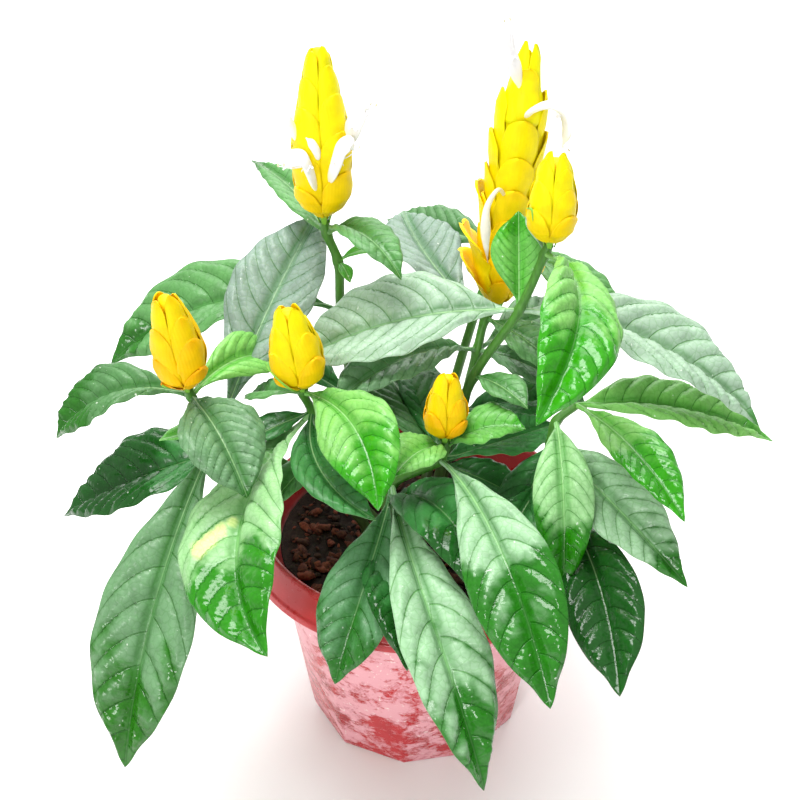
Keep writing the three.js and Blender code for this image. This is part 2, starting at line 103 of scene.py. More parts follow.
# How far the wet part of a leaf, where its painted sky sheen ends, strays from its line,
# by the share of the leaf's length
PAINTED_SHEEN_EDGE = {"band": 0.09, "spots": 0.2, "edge": 0.05, "veins": 0.12}
BRACT = {"thickness": 0.5, "half_angle": 48, "step": 0.75, "reach": 40, "foot_radius": 1.3, "round": 22}
CORE = {"depth": 3.4, "share": 0.6, "rings": 16, "sides": 16}
CALYX = {"length": 8, "below": 1.5, "radius": 2.3, "flare": 2.6, "thickness": 0.4, "half_angle": 24}
PETAL = {"lobe": 5.5, "middle_lobe": 6.5, "lobe_half": 1.9, "thickness": 0.3, "lean": 0.55, "curl": 0.09}
STAMEN = {"apart": 0.8, "radius": 0.22, "past_lip": 3.0}
POLLEN_SAC = {"radius": 0.5, "before": 0.8, "after": 1.2}

# Node points of each stem from its foot in the soil to the base of its head
STEMS = {
    "left_back": [(-14, 22), (-30, 37, 160), (-37, 43, 210), (-38, 47, 236), (-43, 49, 250), (-44, 50, 257)],
    "back": [(10, 22), (22, 30, 160), (29, 35, 193), (33, 42, 207), (38, 46, 212)],
    "right_centre": [(6, 2), (12, 0, 150), (26, 0, 202), (46, 5, 235), (57, 10, 262), (59, 11, 267)],
    "far_left": [(-26, 4), (-60, -4, 150), (-78, -7, 167), (-92, -10, 181), (-104, -18, 203),
                 (-105, -19, 209)],
    "left_centre": [(-14, -6), (-35, -10, 145), (-42, -10, 165), (-49, -12, 190), (-53, -15, 203),
                    (-53, -15, 206)],
    "front": [(-6, -14), (-14, -22, 130), (-12, -25, 157), (10, -32, 177), (12, -32, 184), (12, -32, 190)],
    "right": [(18, -6), (42, -20, 135), (59, -25, 160), (61, -26, 182), (63, -25, 194), (72, -22, 201)],
    "rear": [(4, 34), (18, 62, 150), (32, 85, 190), (42, 100, 212)],
}

# Leaves of each stem: stem point, heading, rise, droop, swing, length, width, roll, share of the length at
# the belly, shade, and the share of the length from where the leaf is wet and deep green,
# with no painted sky sheen
LEAVES = {
    "left_back": [
        (4, 113, 9, 18, 12, 84, 25, 5, 0.4, "green", 0.85),
        (4, -48, 44, 85, -7, 62, 26, -5, 0.5, "green", 0.85),
        (3, 5, 35, 40, 0, 25, 11, 0, 0.56, "bright", 0.9),
        (3, -60, 5, 60, 0, 14, 7, 0, 0.56, "bright", 1),
        (2, 142, 1, 42, 57, 136, 54, -13, 0.6, "green", 0.8),
        (1, 135, 12, 60, 0, 115, 40, 0, 0.56, "dark", 0.5),
    ],
    "back": [
        (3, 125, 5, 5, -25, 105, 40, 0, 0.65, "grey", 1.2),
        (3, -45, 6, 31, 0, 55, 28, 0, 0.56, "green", 0.8),
        (2, 40, 12, 50, 5, 90, 34, 0, 0.56, "mid", 1),
        (2, 215, 30, 55, 5, 90, 36, 0, 0.56, "mid", 1),
        (2, -25, 8, 50, 0, 62, 30, 0, 0.5, "mid", 1),
        (1, -5, 18, 15, 0, 55, 34, 0, 0.5, "dark", 1),
    ],
    "right_centre": [
        (1, 38, 14, 20, 0, 80, 38, -10, 0.5, "dark", 1),
        (3, 174, 1, 42, 0, 115, 52, -18, 0.54, "silver", 1.2),
        (3, 5, -4, 40, -31, 129, 50, 3, 0.5, "silver", 0.95),
        (4, -63, 20, 56, -66, 121, 40, -30, 0.56, "fresh", 0.52),
        (3, 90, 58, 14, 0, 46, 27, 0, 0.58, "bright", 0.7),
        (4, 98, 35, 10, 0, 28, 14, 0, 0.56, "silver", 1.2),
        (2, -48, 22, 44, 0, 36, 20, 0, 0.56, "green", 1),
        (1, -20, -4, 24, 0, 46, 28, 0, 0.5, "dark", 1),
    ],
    "far_left": [
        (4, 154, 9, 65, 42, 78, 36, -9, 0.6, "moss", 0.6),
        (4, 52, 27, 90, -5, 76, 26, 30, 0.55, "fresh", 0.9),
        (4, -62, 14, 70, 5, 63, 40, 4, 0.53, "mid", 0.9),
        (3, 233, 20, 8, -15, 38, 14, 0, 0.56, "bright", 1),
        (3, 248, -20, 52, 0, 169, 50, -2, 0.61, "mid", 0.71),
        (3, 66, 41, 18, -4, 119, 46, 5, 0.6, "grey", 1.2),
        (2, 187, -8, 33, -14, 105, 50, -8, 0.52, "dark", 0.3),
    ],
    "left_centre": [
        (4, -43, 21, 62, -41, 84, 37, 20, 0.56, "fresh", 0.62),
        (4, 144, -16, 22, 0, 39, 24, 0, 0.56, "green", 1),
        (3, 223, -19, -10, 80, 143, 56, 30, 0.53, "light", 0.55),
        (3, 202, -6, 20, 0, 40, 20, 0, 0.56, "dark", 1),
        (3, -99, -5, 2, 65, 80, 28, 0, 0.56, "dark", 1),
        (2, 231, 14, 50, 0, 44, 18, 0, 0.56, "green", 1),
    ],
    "front": [
        (4, 226, 42, 66, 10, 39, 29, 0, 0.56, "fresh", 0.9),
        (4, 8, 44, 52, -20, 40, 30, 0, 0.56, "bright", 0.8),
        (3, -70, 22, 76, 0, 145, 41, 22, 0.63, "soft", 0.52),
        (3, 32, -4, 5, 5, 70, 34, 0, 0.56, "dark", 1),
        (3, 114, 20, 36, -4, 88, 42, 0, 0.5, "moss", 1),
        (3, 100, 21, 30, 0, 76, 24, 0, 0.56, "dark", 1),
        (2, 264, 4, 68, -26, 105, 36, -5, 0.65, "olive", 0.7),
        (2, -86, 16, 86, 31, 166, 40, -4, 0.62, "soft", 0.64),
        (1, -58, 78, 135, -5, 128, 36, 10, 0.56, "dark", 0.6),
        (1, -85, 30, 59, 0, 105, 34, 0, 0.56, "dark", 0.6),
    ],
    "right": [
        (3, 215, -62, 15, 0, 84, 34, 0, 0.45, "dark", 1),
        (2, 240, 0, 55, 0, 62, 28, 0, 0.56, "dark", 1),
        (4, -89, 10, 92, 0, 87, 28, 4, 0.53, "light", 0.62),
        (3, -60, 2, 38, 20, 95, 36, 12, 0.47, "soft", 0.72),
        (5, -59, 15, 40, -5, 87, 27, 0, 0.56, "fresh", 0.5),
        (5, 24, -9, 23, -22, 109, 37, 6, 0.48, "fresh", 0.85),
        (2, -67, 3, 28, -22, 125, 36, 20, 0.65, "dark", 0.2),
    ],
    "rear": [
        (3, 141, -2, 16, -7, 79, 32, -10, 0.56, "moss", 1),
        (3, -35, 5, 40, 0, 80, 30, 0, 0.56, "green", 0.9),
        (2, 80, 5, 65, 0, 105, 38, 0, 0.56, "mid", 1),
        (2, 190, -4, 35, 0, 80, 34, 0, 0.56, "dark", 1),
    ],
}

# Pale worn patches on single leaves: share of the length, share of the half width, radius in mm
PATCHES = {("left_centre", 2): [(0.48, -0.12, 4), (0.51, -0.27, 5), (0.54, -0.42, 5.5), (0.57, -0.58, 5.5)]}

# Bract heads: base and tip of the axis, radius, azimuth of the first rank, outline, how deep the bracts'
# points are by the radius and at least, and the height of each pair's points
HEADS = {
    "left_back": {
        "base": (-44, 50, 257), "tip": (-45, 52, 346), "radius": 14.5, "turn": -45, "shape": "lance",
        "dome": 0.6, "notch": 0, "pairs": (22, 30, 42, 50, 61, 67, 74, 80, 86, 88),
    },
    "back": {
        "base": (38, 46, 212), "tip": (50, 60, 342), "radius": 12, "turn": 2, "shape": "column",
        "dome": 0.9, "notch": 8, "pairs": (18, 26, 34, 42, 50, 58, 65, 73, 81, 90, 99, 110, 122),
    },
    "right_centre": {
        "base": (59, 11, 267), "tip": (60, 12, 314), "radius": 11.5, "turn": 38, "shape": "bud",
        "dome": 0.9, "notch": 8, "pairs": (19, 21, 31, 34, 40, 43, 46, 47),
    },
    "far_left": {
        "base": (-105, -19, 209), "tip": (-111, -30, 268), "radius": 13.5, "turn": -45, "shape": "egg",
        "dome": 1.1, "notch": 7, "pairs": (12, 20, 27, 36, 43, 48, 57, 59),
    },
    "left_centre": {
        "base": (-53, -15, 206), "tip": (-59, -18, 254), "radius": 14, "turn": -45, "shape": "egg",
        "dome": 1.1, "notch": 7, "pairs": (14, 23, 27, 35, 39, 47, 48),
    },
    "front": {
        "base": (12, -32, 190), "tip": (13, -32, 227), "radius": 11, "turn": 45, "shape": "egg",
        "dome": 1.2, "notch": 4, "pairs": (15, 19, 25, 28, 35, 37),
    },
}
# Bracts out of rank, loose ones low on a head and young ones at its top: start, tip, azimuth, how far they
# stand off, share of the usual breadth
LOOSE_BRACTS = {
    "back": [(6, 42, -84, 10, 1.15), (22, 62, -104, 5, 1.1), (0, 25, -100, 9, 1.3), (2, 23, 84, 8, 1.1),
             (92, 133, -44, 0.4, 1), (92, 132, 47, 0.4, 1), (92, 127, 180, 0.4, 0.9)],
}
# Thin green tips of sepals that show between the bracts: lengths along the axis and azimuths
SEPALS = {
    "far_left": [(10, -50), (12, -40), (10, -30)],
    "left_centre": [(3, -5), (10, -15), (15, -35), (18, -60), (19, -75)],
    "right_centre": [(20, -70), (21, -52), (16, -45)],
}
# Outlines of the heads: share of the length, share of the radius
OUTLINE = {
    "lance": [(0, 0.16), (0.06, 0.43), (0.1, 0.74), (0.17, 0.97), (0.42, 1.05), (0.5, 1), (0.75, 0.67),
              (0.93, 0.36), (0.98, 0.2), (1, 0.08)],
    "column": [(0, 0.3), (0.06, 0.7), (0.15, 0.95), (0.66, 1), (0.78, 0.9), (0.85, 0.64), (0.95, 0.48),
               (1, 0.25)],
    "egg": [(0, 0.18), (0.09, 0.54), (0.2, 0.9), (0.33, 0.97), (0.5, 0.9), (0.76, 0.61), (0.88, 0.43),
            (1, 0.2)],
    "bud": [(0, 0.25), (0.09, 0.64), (0.2, 0.98), (0.33, 1.05), (0.5, 0.99), (0.76, 0.74), (0.88, 0.54),
            (1, 0.25)],
}
# How orange a head is, from 0 to 1
RIPENESS = {
    "left_back": 0.1,
    "back": 0.35,
    "right_centre": 0.05,
    "far_left": 0.9,
    "left_centre": 0.45,
    "front": 0.75,
}

# White flowers: their middle line from inside the head to the lip
FLOWERS = {
    "flower_left_low": [(-45, 49, 269), (-47.7, 38, 283.6), (-50, 34, 293), (-52.4, 32, 299),
                        (-57.3, 31, 299), (-61.2, 32, 293)],
    "flower_right_low": [(-44, 49, 273), (-39.8, 38, 288), (-36.8, 35, 296.4), (-34.4, 34, 303),
                         (-30.8, 34, 305.5), (-29, 35, 300.5)],
    "flower_bud": [(-44.6, 49.5, 283), (-46, 38, 299), (-48.4, 36, 304.5), (-50.5, 35, 307.5)],
    "flower_far_right": [(-42, 50, 288), (-30.6, 44, 306), (-27.7, 43, 313.4), (-25, 43, 318.8),
                         (-21.4, 44, 316.8)],
    "flower_far_left": [(-47, 50, 290), (-56, 44, 305.4), (-58.8, 43, 312), (-60.4, 43, 317.3)],
    "flower_top": [(47, 55, 318), (43.8, 48, 332.5), (40.6, 46, 342), (39, 46, 349.7), (39.3, 46, 356.3)],
    "flower_right": [(47, 54, 305), (52, 42, 318.3), (58, 40, 321.3), (64, 40, 317.8), (66.5, 38, 310),
                     (64.5, 36, 302)],
    "flower_wilted": [(42.6, 50, 266), (35.8, 33, 282), (31.5, 30.5, 275), (31, 29.5, 261), (32.4, 29, 246)],
}
# How much a hood widens: the broad one, the other open ones, and the closed and wilted ones
HOOD = {"flower_right": 6.0, "open": 3.6, "closed": 1.6}

# Lamps of the stage: place in metres, width in metres and power in watts
LAMPS = {
    "sky_panel": ((0.1, 1.3, 1.15), 1.8, 24.0),
    "overhead": ((-0.3, 0.1, 1.7), 1.0, 32.0),
    "front": ((-0.6, -1.7, 1.1), 0.6, 17.0),
}
STAGE = {"floor_half": 6.0, "target": (-8.4, 0, 188.3), "sensor": 36.0}

# Leaf shades as two colours: dull, a green with a painted pale sky sheen, where the blade is dry, and deep,
# with no painted sheen, where it is wet
SHADES = {
    "silver": ("#98b39a", "#3f7f38"),
    "grey": ("#7e9386", "#3c7a36"),
    "mid": ("#61895f", "#24660f"),
    "soft": ("#90b68e", "#226a14"),
    "light": ("#8fbe82", "#247a08"),
    "fresh": ("#78b65a", "#2f8f0c"),
    "bright": ("#62a848", "#388e1c"),
    "green": ("#558a4c", "#276519"),
    "moss": ("#4c7b47", "#276519"),
    "olive": ("#588b5c", "#286820"),
    "dark": ("#337636", "#184d17"),
}

# Real sizes of the surface patterns, in millimetres
GRAIN = {
    "wet_streak": 23.8,
    "lime_dot": 2.38,
    "plastic_skin": 1.11,
    "leaf_mottle": 9.1,
    "lime_speck": 2.5,
    "stem_fibre": 1.43,
    "bract_cloud": 6.25,
    "petal_crumple": 2.38,
}


def linear(code):
    """Linear red, green and blue of an sRGB hex value."""
    values = [int(code[i : i + 2], 16) / 255 for i in (1, 3, 5)]
    return tuple(c / 12.92 if c <= 0.04045 else ((c + 0.055) / 1.055) ** 2.4 for c in values)


def colour_property(name, code, description):
    return FloatVectorProperty(
        name=name, description=description, subtype="COLOR", default=linear(code), min=0, max=1)


def length_property(name, metres, description):
    return FloatProperty(
        name=name, description=description, subtype="DISTANCE", unit="LENGTH", default=metres)


class ShrimpPlantPot(bpy.types.PropertyGroup):
    """Finish of the pot"""

    body: colour_property("Body", "#b51f24", "Red of the moulded plastic")
    bloom: colour_property("Bloom", "#dea0a8", "Pale bloom and dried splashes on the wall")
    deep: colour_property("Deep red", "#700c0e", "Darker red where the plastic stays wet")
    lime: colour_property("Lime", "#e6d3cf", "Specks and drops of dried lime")
    patch: length_property("Bloom patch", 0.018, "Size of the pale patches")
    rim_round: length_property("Rim rounding", 0.0008, "Radius of the moulded edges")


class ShrimpPlantSoil(bpy.types.PropertyGroup):
    """Finish of the soil"""

    peat: colour_property("Peat", "#27170f", "Moist peat")
    bark: colour_property("Bark", "#834330", "Dry faces of the bark chips")
    chips: IntProperty(name="Chips", description="How many bark chips lie on the soil", default=900, min=0)
    chip_length: length_property("Chip length", 0.010, "Length of the largest bark chips")
    grain: length_property("Grain", 0.0022, "Size of the soil's crumbs")


class ShrimpPlantLeaf(bpy.types.PropertyGroup):
    """Form and finish of the leaves and stems"""

    step: length_property("Mesh step", 0.0012, "Distance between the points of a leaf's mesh")
    vein_gap: FloatProperty(
        name="Vein spacing", description="Share of the leaf's length between side veins", default=0.088)
    quilt: length_property("Quilting", 0.0021, "How far a large leaf swells between its side veins")
    net: length_property("Vein net", 0.0034, "Size of the cells of the finest veins")
    rib: colour_property("Ribs", "#a4cb8e", "Midrib and side veins on the upper face")
    lime: colour_property("Lime", "#e5ecdf", "Specks of dried lime on the upper face")
    worn: colour_property("Worn patch", "#cfe08e", "Pale worn patch on a leaf")
    stem: colour_property("Stem", "#417724", "Young green stem")
    old_stem: colour_property("Old stem", "#3c4f25", "Lower stem")


class ShrimpPlantBract(bpy.types.PropertyGroup):
    """Finish of the bracts"""

    fresh: colour_property("Fresh", "#e8e400", "Bracts at the top of a head")
    full: colour_property("Full", "#f2c800", "Bracts in the middle of a head")
    old: colour_property("Old", "#f09a00", "Lowest bracts, about to drop")
    calyx: colour_property("Calyx", "#7fb843", "Small green bracts below a head")
    vein_gap: length_property("Vein spacing", 0.0016, "Distance between the fine veins of a bract")


class ShrimpPlantFlower(bpy.types.PropertyGroup):
    """Finish of the flowers"""

    white: colour_property("White", "#f1eff0", "Open petals")
    throat: colour_property("Throat", "#f3ecd0", "Tube below the petals")
    faded: colour_property("Faded", "#e9d7a2", "Wilted tube")
    anther: colour_property("Anther", "#d8d2b4", "Pollen sacs")


class ShrimpPlantStage(bpy.types.PropertyGroup):
    """Floor, light and camera"""

    floor: colour_property("Floor", "#f4f4f3", "Plain pale floor")
    distance: length_property("Camera distance", 0.847, "From the lens to the point that it looks at")
    pitch: FloatProperty(
        name="Pitch", description="Camera's tilt below level", subtype="ANGLE", default=math.radians(35.5))
    lens: FloatProperty(name="Lens", description="Focal length in mm on a 36 mm sensor", default=81.0)
    sky: FloatProperty(name="Sky", description="Strength of the even light from all round", default=0.65)


SETTINGS = {
    "shrimp_pot": ShrimpPlantPot,
    "shrimp_soil": ShrimpPlantSoil,
    "shrimp_leaf": ShrimpPlantLeaf,
    "shrimp_bract": ShrimpPlantBract,
    "shrimp_flower": ShrimpPlantFlower,
    "shrimp_stage": ShrimpPlantStage,
}


class Draws:
    """Seeded random numbers, the same ones that gave the leaf solids their waves."""

    def __init__(self, seed):
        self.state = seed & 0xFFFFFFFF

    def __call__(self):
        self.state = (self.state + 0x6D2B79F5) & 0xFFFFFFFF
        t = self.state
        t = ((t ^ (t >> 15)) * (t | 1)) & 0xFFFFFFFF
        t ^= (t + (((t ^ (t >> 7)) * (t | 61)) & 0xFFFFFFFF)) & 0xFFFFFFFF
        return ((t ^ (t >> 14)) & 0xFFFFFFFF) / 4294967296


def unit(vectors):
    """The vectors at a length of one."""
    vectors = np.asarray(vectors, float)
    return vectors / np.maximum(np.linalg.norm(vectors, axis=-1, keepdims=True), 1e-9)


def ease(low, high, value):
    """Rises smoothly from 0 to 1 between the low and the high value."""
    share = np.clip((value - low) / (high - low), 0, 1)
    return share * share * (3 - 2 * share)


def blend(first, second, share):
    """The first value with a share of the second mixed in."""
    return np.asarray(first) * (1 - share) + np.asarray(second) * share


def circle(radius, sides, z=0.0):
    """Points of a level circle round the axis."""
    turn = np.linspace(0, 2 * math.pi, sides, endpoint=False)
    return np.stack([radius * np.cos(turn), radius * np.sin(turn), np.full(sides, float(z))], -1)


def mesh_object(name, points, faces):
    """A new mesh object in the scene, from points in millimetres."""
    mesh = bpy.data.meshes.new(name)
    mesh.from_pydata((np.asarray(points, float) * MM).tolist(), [], faces)
    made = bpy.data.objects.new(name, mesh)
    bpy.context.scene.collection.objects.link(made)
    return made


class Growth:
    """Collects the closed bodies of one piece, in millimetres, with a colour and a place for each point."""

    def __init__(self):
        self.points = []
        self.faces = []
        self.kinds = []
        self.tones = []
        self.places = []
        self.count = 0

    def add(self, points, faces, kinds, tones, places):
        """Adds one body of quads, turned to face outward."""
        points = np.asarray(points, float)
        a, b, c, d = (points[faces[:, i]] for i in range(4))
        volume = (a * (np.cross(b, c) + np.cross(c, d))).sum()
        if volume < 0:
            faces = faces[:, ::-1]
        tones = np.asarray(tones, float)
        if tones.shape[-1] == 3:
            tones = np.concatenate([tones, 0 * tones[..., :1]], -1)
        self.points.append(points)
        self.faces += (faces + self.count).tolist()
        self.kinds += list(np.broadcast_to(kinds, len(faces)))
        self.tones.append(np.broadcast_to(tones, (len(points), 4)))
        self.places.append(np.broadcast_to(places, (len(points), 3)))
        self.count += len(points)

    def shell(self, front, back, tones, places=(0, 0, 0), back_kind=0):
        """A thin closed body between a grid of front points and the same grid of back points."""
        rows, columns = front.shape[:2]
        grid = np.arange(rows * columns).reshape(rows, columns)
        quads = np.stack([grid[:-1, :-1], grid[1:, :-1], grid[1:, 1:], grid[:-1, 1:]], -1).reshape(-1, 4)
        under = quads[:, ::-1] + rows * columns
        edge = np.concatenate([grid[0], grid[1:, -1], grid[-1, -2::-1], grid[-2:0:-1, 0]])
        ahead = np.roll(edge, -1)
        rim = np.stack([edge, ahead, ahead + rows * columns, edge + rows * columns], -1)
        faces = np.concatenate([quads, under, rim])
        kinds = [0] * len(quads) + [back_kind] * (len(under) + len(rim))
        points = np.concatenate([front.reshape(-1, 3), back.reshape(-1, 3)])
        tones = np.broadcast_to(tones, (rows, columns, np.shape(tones)[-1])).reshape(rows * columns, -1)
        places = np.broadcast_to(places, front.shape).reshape(-1, 3)
        self.add(points, faces, kinds, np.concatenate([tones, tones]), np.concatenate([places, places]))

    def loft(self, rings, tones, places=(0, 0, 0), kind=0):
        """Rings joined one to the next, with both ends drawn in to a small flat."""
        flat = 0.02
        count, sides = rings.shape[:2]
        rings = np.concatenate([rings[:1], rings, rings[-1:]])
        for end in (0, -1):
            rings[end] = blend(rings[end].mean(0), rings[end], flat)
        grid = np.arange((count + 2) * sides).reshape(count + 2, sides)
        turned = np.roll(grid, -1, 1)
        faces = np.stack([grid[:-1], turned[:-1], turned[1:], grid[1:]], -1).reshape(-1, 4)
        spread = [0, *range(count), count - 1]
        tones = np.broadcast_to(tones, (count, 3))[spread].repeat(sides, 0)
        places = np.broadcast_to(places, (count, 3))[spread].repeat(sides, 0)
        before = self.count
        self.add(rings.reshape(-1, 3), faces, kind, tones, places)
        self.faces += [(grid[0][::-1] + before).tolist(), (grid[-1] + before).tolist()]
        self.kinds += [kind, kind]

    def piece(self, name, materials, slot, nodes):
        """Makes the mesh object and lets it stand for its nodes of the frame."""
        made = mesh_object(name, np.concatenate(self.points), self.faces)
        mesh = made.data
        mesh.polygons.foreach_set("use_smooth", [True] * len(mesh.polygons))
        mesh.polygons.foreach_set("material_index", [int(kind) for kind in self.kinds])
        tone = mesh.attributes.new("tone", "FLOAT_COLOR", "POINT")
        tone.data.foreach_set("color", np.concatenate(self.tones).ravel())
        place = mesh.attributes.new("place", "FLOAT_VECTOR", "POINT")
        place.data.foreach_set("vector", np.concatenate(self.places).ravel())
        for material in materials:
            mesh.materials.append(material)
        mesh.validate()
        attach(made, "root")
        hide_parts(*nodes)
        return made


def smooth_path(stations, gap):
    """Centripetal curve through the stations, cut into steps of about the gap."""
    stations = np.asarray(stations, float)
    before = 2 * stations[0] - stations[1]
    after = 2 * stations[-1] - stations[-2]
    ends = np.concatenate([[before], stations, [after]])
    points = []
    for a, b, c, d in zip(ends[:-3], ends[1:-2], ends[2:-1], ends[3:]):
        steps = [max(np.linalg.norm(q - p), 1e-6) ** 0.5 for p, q in ((a, b), (b, c), (c, d))]
        times = np.cumsum([0] + steps)
        t = np.linspace(times[1], times[2], 24, endpoint=False)[:, None]

        def mixed(p, q, start, end):
            return (p * (end - t) + q * (t - start)) / (end - start)

        first = mixed(a, b, times[0], times[1])
        second = mixed(b, c, times[1], times[2])
        third = mixed(c, d, times[2], times[3])
        early = mixed(first, second, times[0], times[2])
        late = mixed(second, third, times[1], times[3])
        points.append(mixed(early, late, times[1], times[2]))
    points = np.concatenate([*points, stations[-1:]])
    reach = np.concatenate([[0], np.cumsum(np.linalg.norm(np.diff(points, axis=0), axis=1))])
    marks = np.linspace(0, reach[-1], max(3, round(reach[-1] / gap)) + 1)
    return np.stack([np.interp(marks, reach, points[:, i]) for i in range(3)], -1)


def rings_along(path, widths, thicknesses, sides, start=(1, 0, 0), corners=0.0):
    """Rings across a path, carried along without twist. Corners above 0 give the section four soft ribs."""
    along = unit(np.gradient(path, axis=0))
    turn = np.linspace(0, 2 * math.pi, sides, endpoint=False)
    ribs = 1 + corners * np.cos(4 * turn)
    across = np.asarray(start, float)
    rings = []
    for point, ahead, width, thickness in zip(path, along, widths, thicknesses):
        across = unit(across - ahead * (across @ ahead))
        up = np.cross(ahead, across)
        ring = np.outer(width * ribs * np.cos(turn), across) + np.outer(thickness * ribs * np.sin(turn), up)
        rings.append(point + ring)
    return np.array(rings)


# Materials

SMOOTH = {"interpolation_type": "SMOOTHSTEP"}
COLOURS = {"data_type": "RGBA"}
TINT = {"data_type": "RGBA", "blend_type": "MULTIPLY"}
TIMES = {"operation": "MULTIPLY"}
TIMES_PLUS = {"operation": "MULTIPLY_ADD"}
PLUS = {"operation": "ADD"}
LARGER = {"operation": "MAXIMUM"}
FOLDED = {"operation": "PINGPONG"}


def add_node(tree, kind, settings=None, inputs=None):
    """Adds a shader node, sets its options, and gives its inputs values or links."""
    node = tree.nodes.new("ShaderNode" + kind)
    for name, value in (settings or {}).items():
        setattr(node, name, value)
    for key, value in (inputs or {}).items():
        if isinstance(value, bpy.types.NodeSocket):
            tree.links.new(value, node.inputs[key])
        else:
            node.inputs[key].default_value = value
    return node


def new_material(name, **fixed):
    """An empty material with its shader, and the shader's even values set on its own sockets."""
    material = bpy.data.materials.new(name)
    material.use_nodes = True
    tree = material.node_tree
    shader = tree.nodes["Principled BSDF"]
    for key, value in fixed.items():
        shader.inputs[key.replace("_", " ")].default_value = value
    return material, tree, shader


def drive(tree, shader, **sources):
    """Links each source to the shader's input of that name."""
    for key, source in sources.items():
        tree.links.new(source, shader.inputs[key.replace("_", " ")])


def rgba(colour):
    return (*colour, 1.0)


def per_metre(millimetres):
    """Texture scale of a pattern from its real size."""
    return 1 / (millimetres * MM)


def moulded_polypropylene(settings):
    """Polypropylene, injection moulded: even soft gloss under a dry lime bloom and streaks of old water."""
    material, tree, shader = new_material(
        "moulded_polypropylene", IOR=1.49, Specular_IOR_Level=0.35, Coat_Weight=0.2, Coat_Roughness=0.08)
    where = add_node(tree, "TexCoord").outputs["Object"]
    patch = 1 / settings.patch
    wide = add_node(tree, "VectorMath", TIMES, {0: where, 1: (1.0, 1.0, 1.7)}).outputs[0]
    warp = add_node(tree, "TexNoise", None, {"Vector": wide, "Scale": patch * 3, "Detail": 4.0})
    bent = add_node(tree, "VectorMath", {"operation": "SCALE"}, {0: warp.outputs["Color"], "Scale": 0.012})
    moved = add_node(tree, "VectorMath", PLUS, {0: wide, 1: bent.outputs[0]}).outputs[0]
    bloom = add_node(
        tree, "TexNoise", None, {"Vector": moved, "Scale": patch, "Detail": 9.0, "Roughness": 0.74})
    height = add_node(tree, "SeparateXYZ", None, {0: where}).outputs[2]
    rising = add_node(tree, "Math", TIMES_PLUS, {0: height, 1: 1.1, 2: bloom.outputs[0]}).outputs[0]
    film = add_node(tree, "MapRange", SMOOTH, {0: rising, 1: 0.48, 2: 0.59, 3: 0.04, 4: 0.98}).outputs[0]
    wall = add_node(tree, "MapRange", SMOOTH, {0: height, 1: 0.099, 2: 0.106, 3: 1.0, 4: 0.06}).outputs[0]
    worn = add_node(tree, "Math", TIMES, {0: film, 1: wall}).outputs[0]
    streak = add_node(
        tree, "TexNoise", None, {"Vector": where, "Scale": per_metre(GRAIN["wet_streak"]), "Detail": 2.0})
    wet = add_node(
        tree, "MapRange", None, {0: streak.outputs[0], 1: 0.45, 2: 0.7, 3: 0.0, 4: 0.5}).outputs[0]
    red = add_node(
        tree, "Mix", COLOURS, {0: wet, 6: rgba(settings.body), 7: rgba(settings.deep)}).outputs[2]
    pale = add_node(tree, "Mix", COLOURS, {0: worn, 6: red, 7: rgba(settings.bloom)}).outputs[2]
    dots = add_node(
        tree, "TexNoise", None, {"Vector": where, "Scale": per_metre(GRAIN["lime_dot"]), "Detail": 2.0})
    dot = add_node(tree, "MapRange", None, {0: dots.outputs[0], 1: 0.64, 2: 0.7, 3: 0.0, 4: 0.8}).outputs[0]
    lime = add_node(tree, "Math", TIMES, {0: dot, 1: worn}).outputs[0]
    colour = add_node(tree, "Mix", COLOURS, {0: lime, 6: pale, 7: rgba(settings.lime)}).outputs[2]
    rough = add_node(tree, "MapRange", None, {0: worn, 1: 0.0, 2: 1.0, 3: 0.26, 4: 0.58}).outputs[0]
    skin = add_node(
        tree, "TexNoise", None, {"Vector": where, "Scale": per_metre(GRAIN["plastic_skin"]), "Detail": 3.0})
    lumps = add_node(tree, "Math", TIMES_PLUS, {0: skin.outputs[0], 1: 0.4, 2: worn}).outputs[0]
    bump = add_node(tree, "Bump", None, {"Strength": 0.5, "Distance": 0.0002, "Height": lumps}).outputs[0]
    drive(tree, shader, Base_Color=colour, Roughness=rough, Normal=bump)
    return material


def peat_and_bark(settings):
    """Peat with composted bark: matt crumbs, moist and dark, with the chips' dry faces lighter."""
    material, tree, shader = new_material("peat_and_bark", IOR=1.4, Roughness=0.9)
    where = add_node(tree, "TexCoord").outputs["Object"]
    tone = add_node(tree, "Attribute", {"attribute_name": "tone"}).outputs["Color"]
    crumbs = add_node(
        tree, "TexNoise", None,
        {"Vector": where, "Scale": 1 / settings.grain, "Detail": 5.0, "Roughness": 0.7}).outputs[0]
    shade = add_node(tree, "MapRange", None, {0: crumbs, 1: 0.3, 2: 0.7, 3: 0.35, 4: 1.5}).outputs[0]
    colour = add_node(tree, "Mix", TINT, {0: 1.0, 6: tone, 7: shade}).outputs[2]
    bump = add_node(tree, "Bump", None, {"Strength": 1.0, "Distance": 0.0012, "Height": crumbs}).outputs[0]
    drive(tree, shader, Base_Color=colour, Normal=bump)
    return material


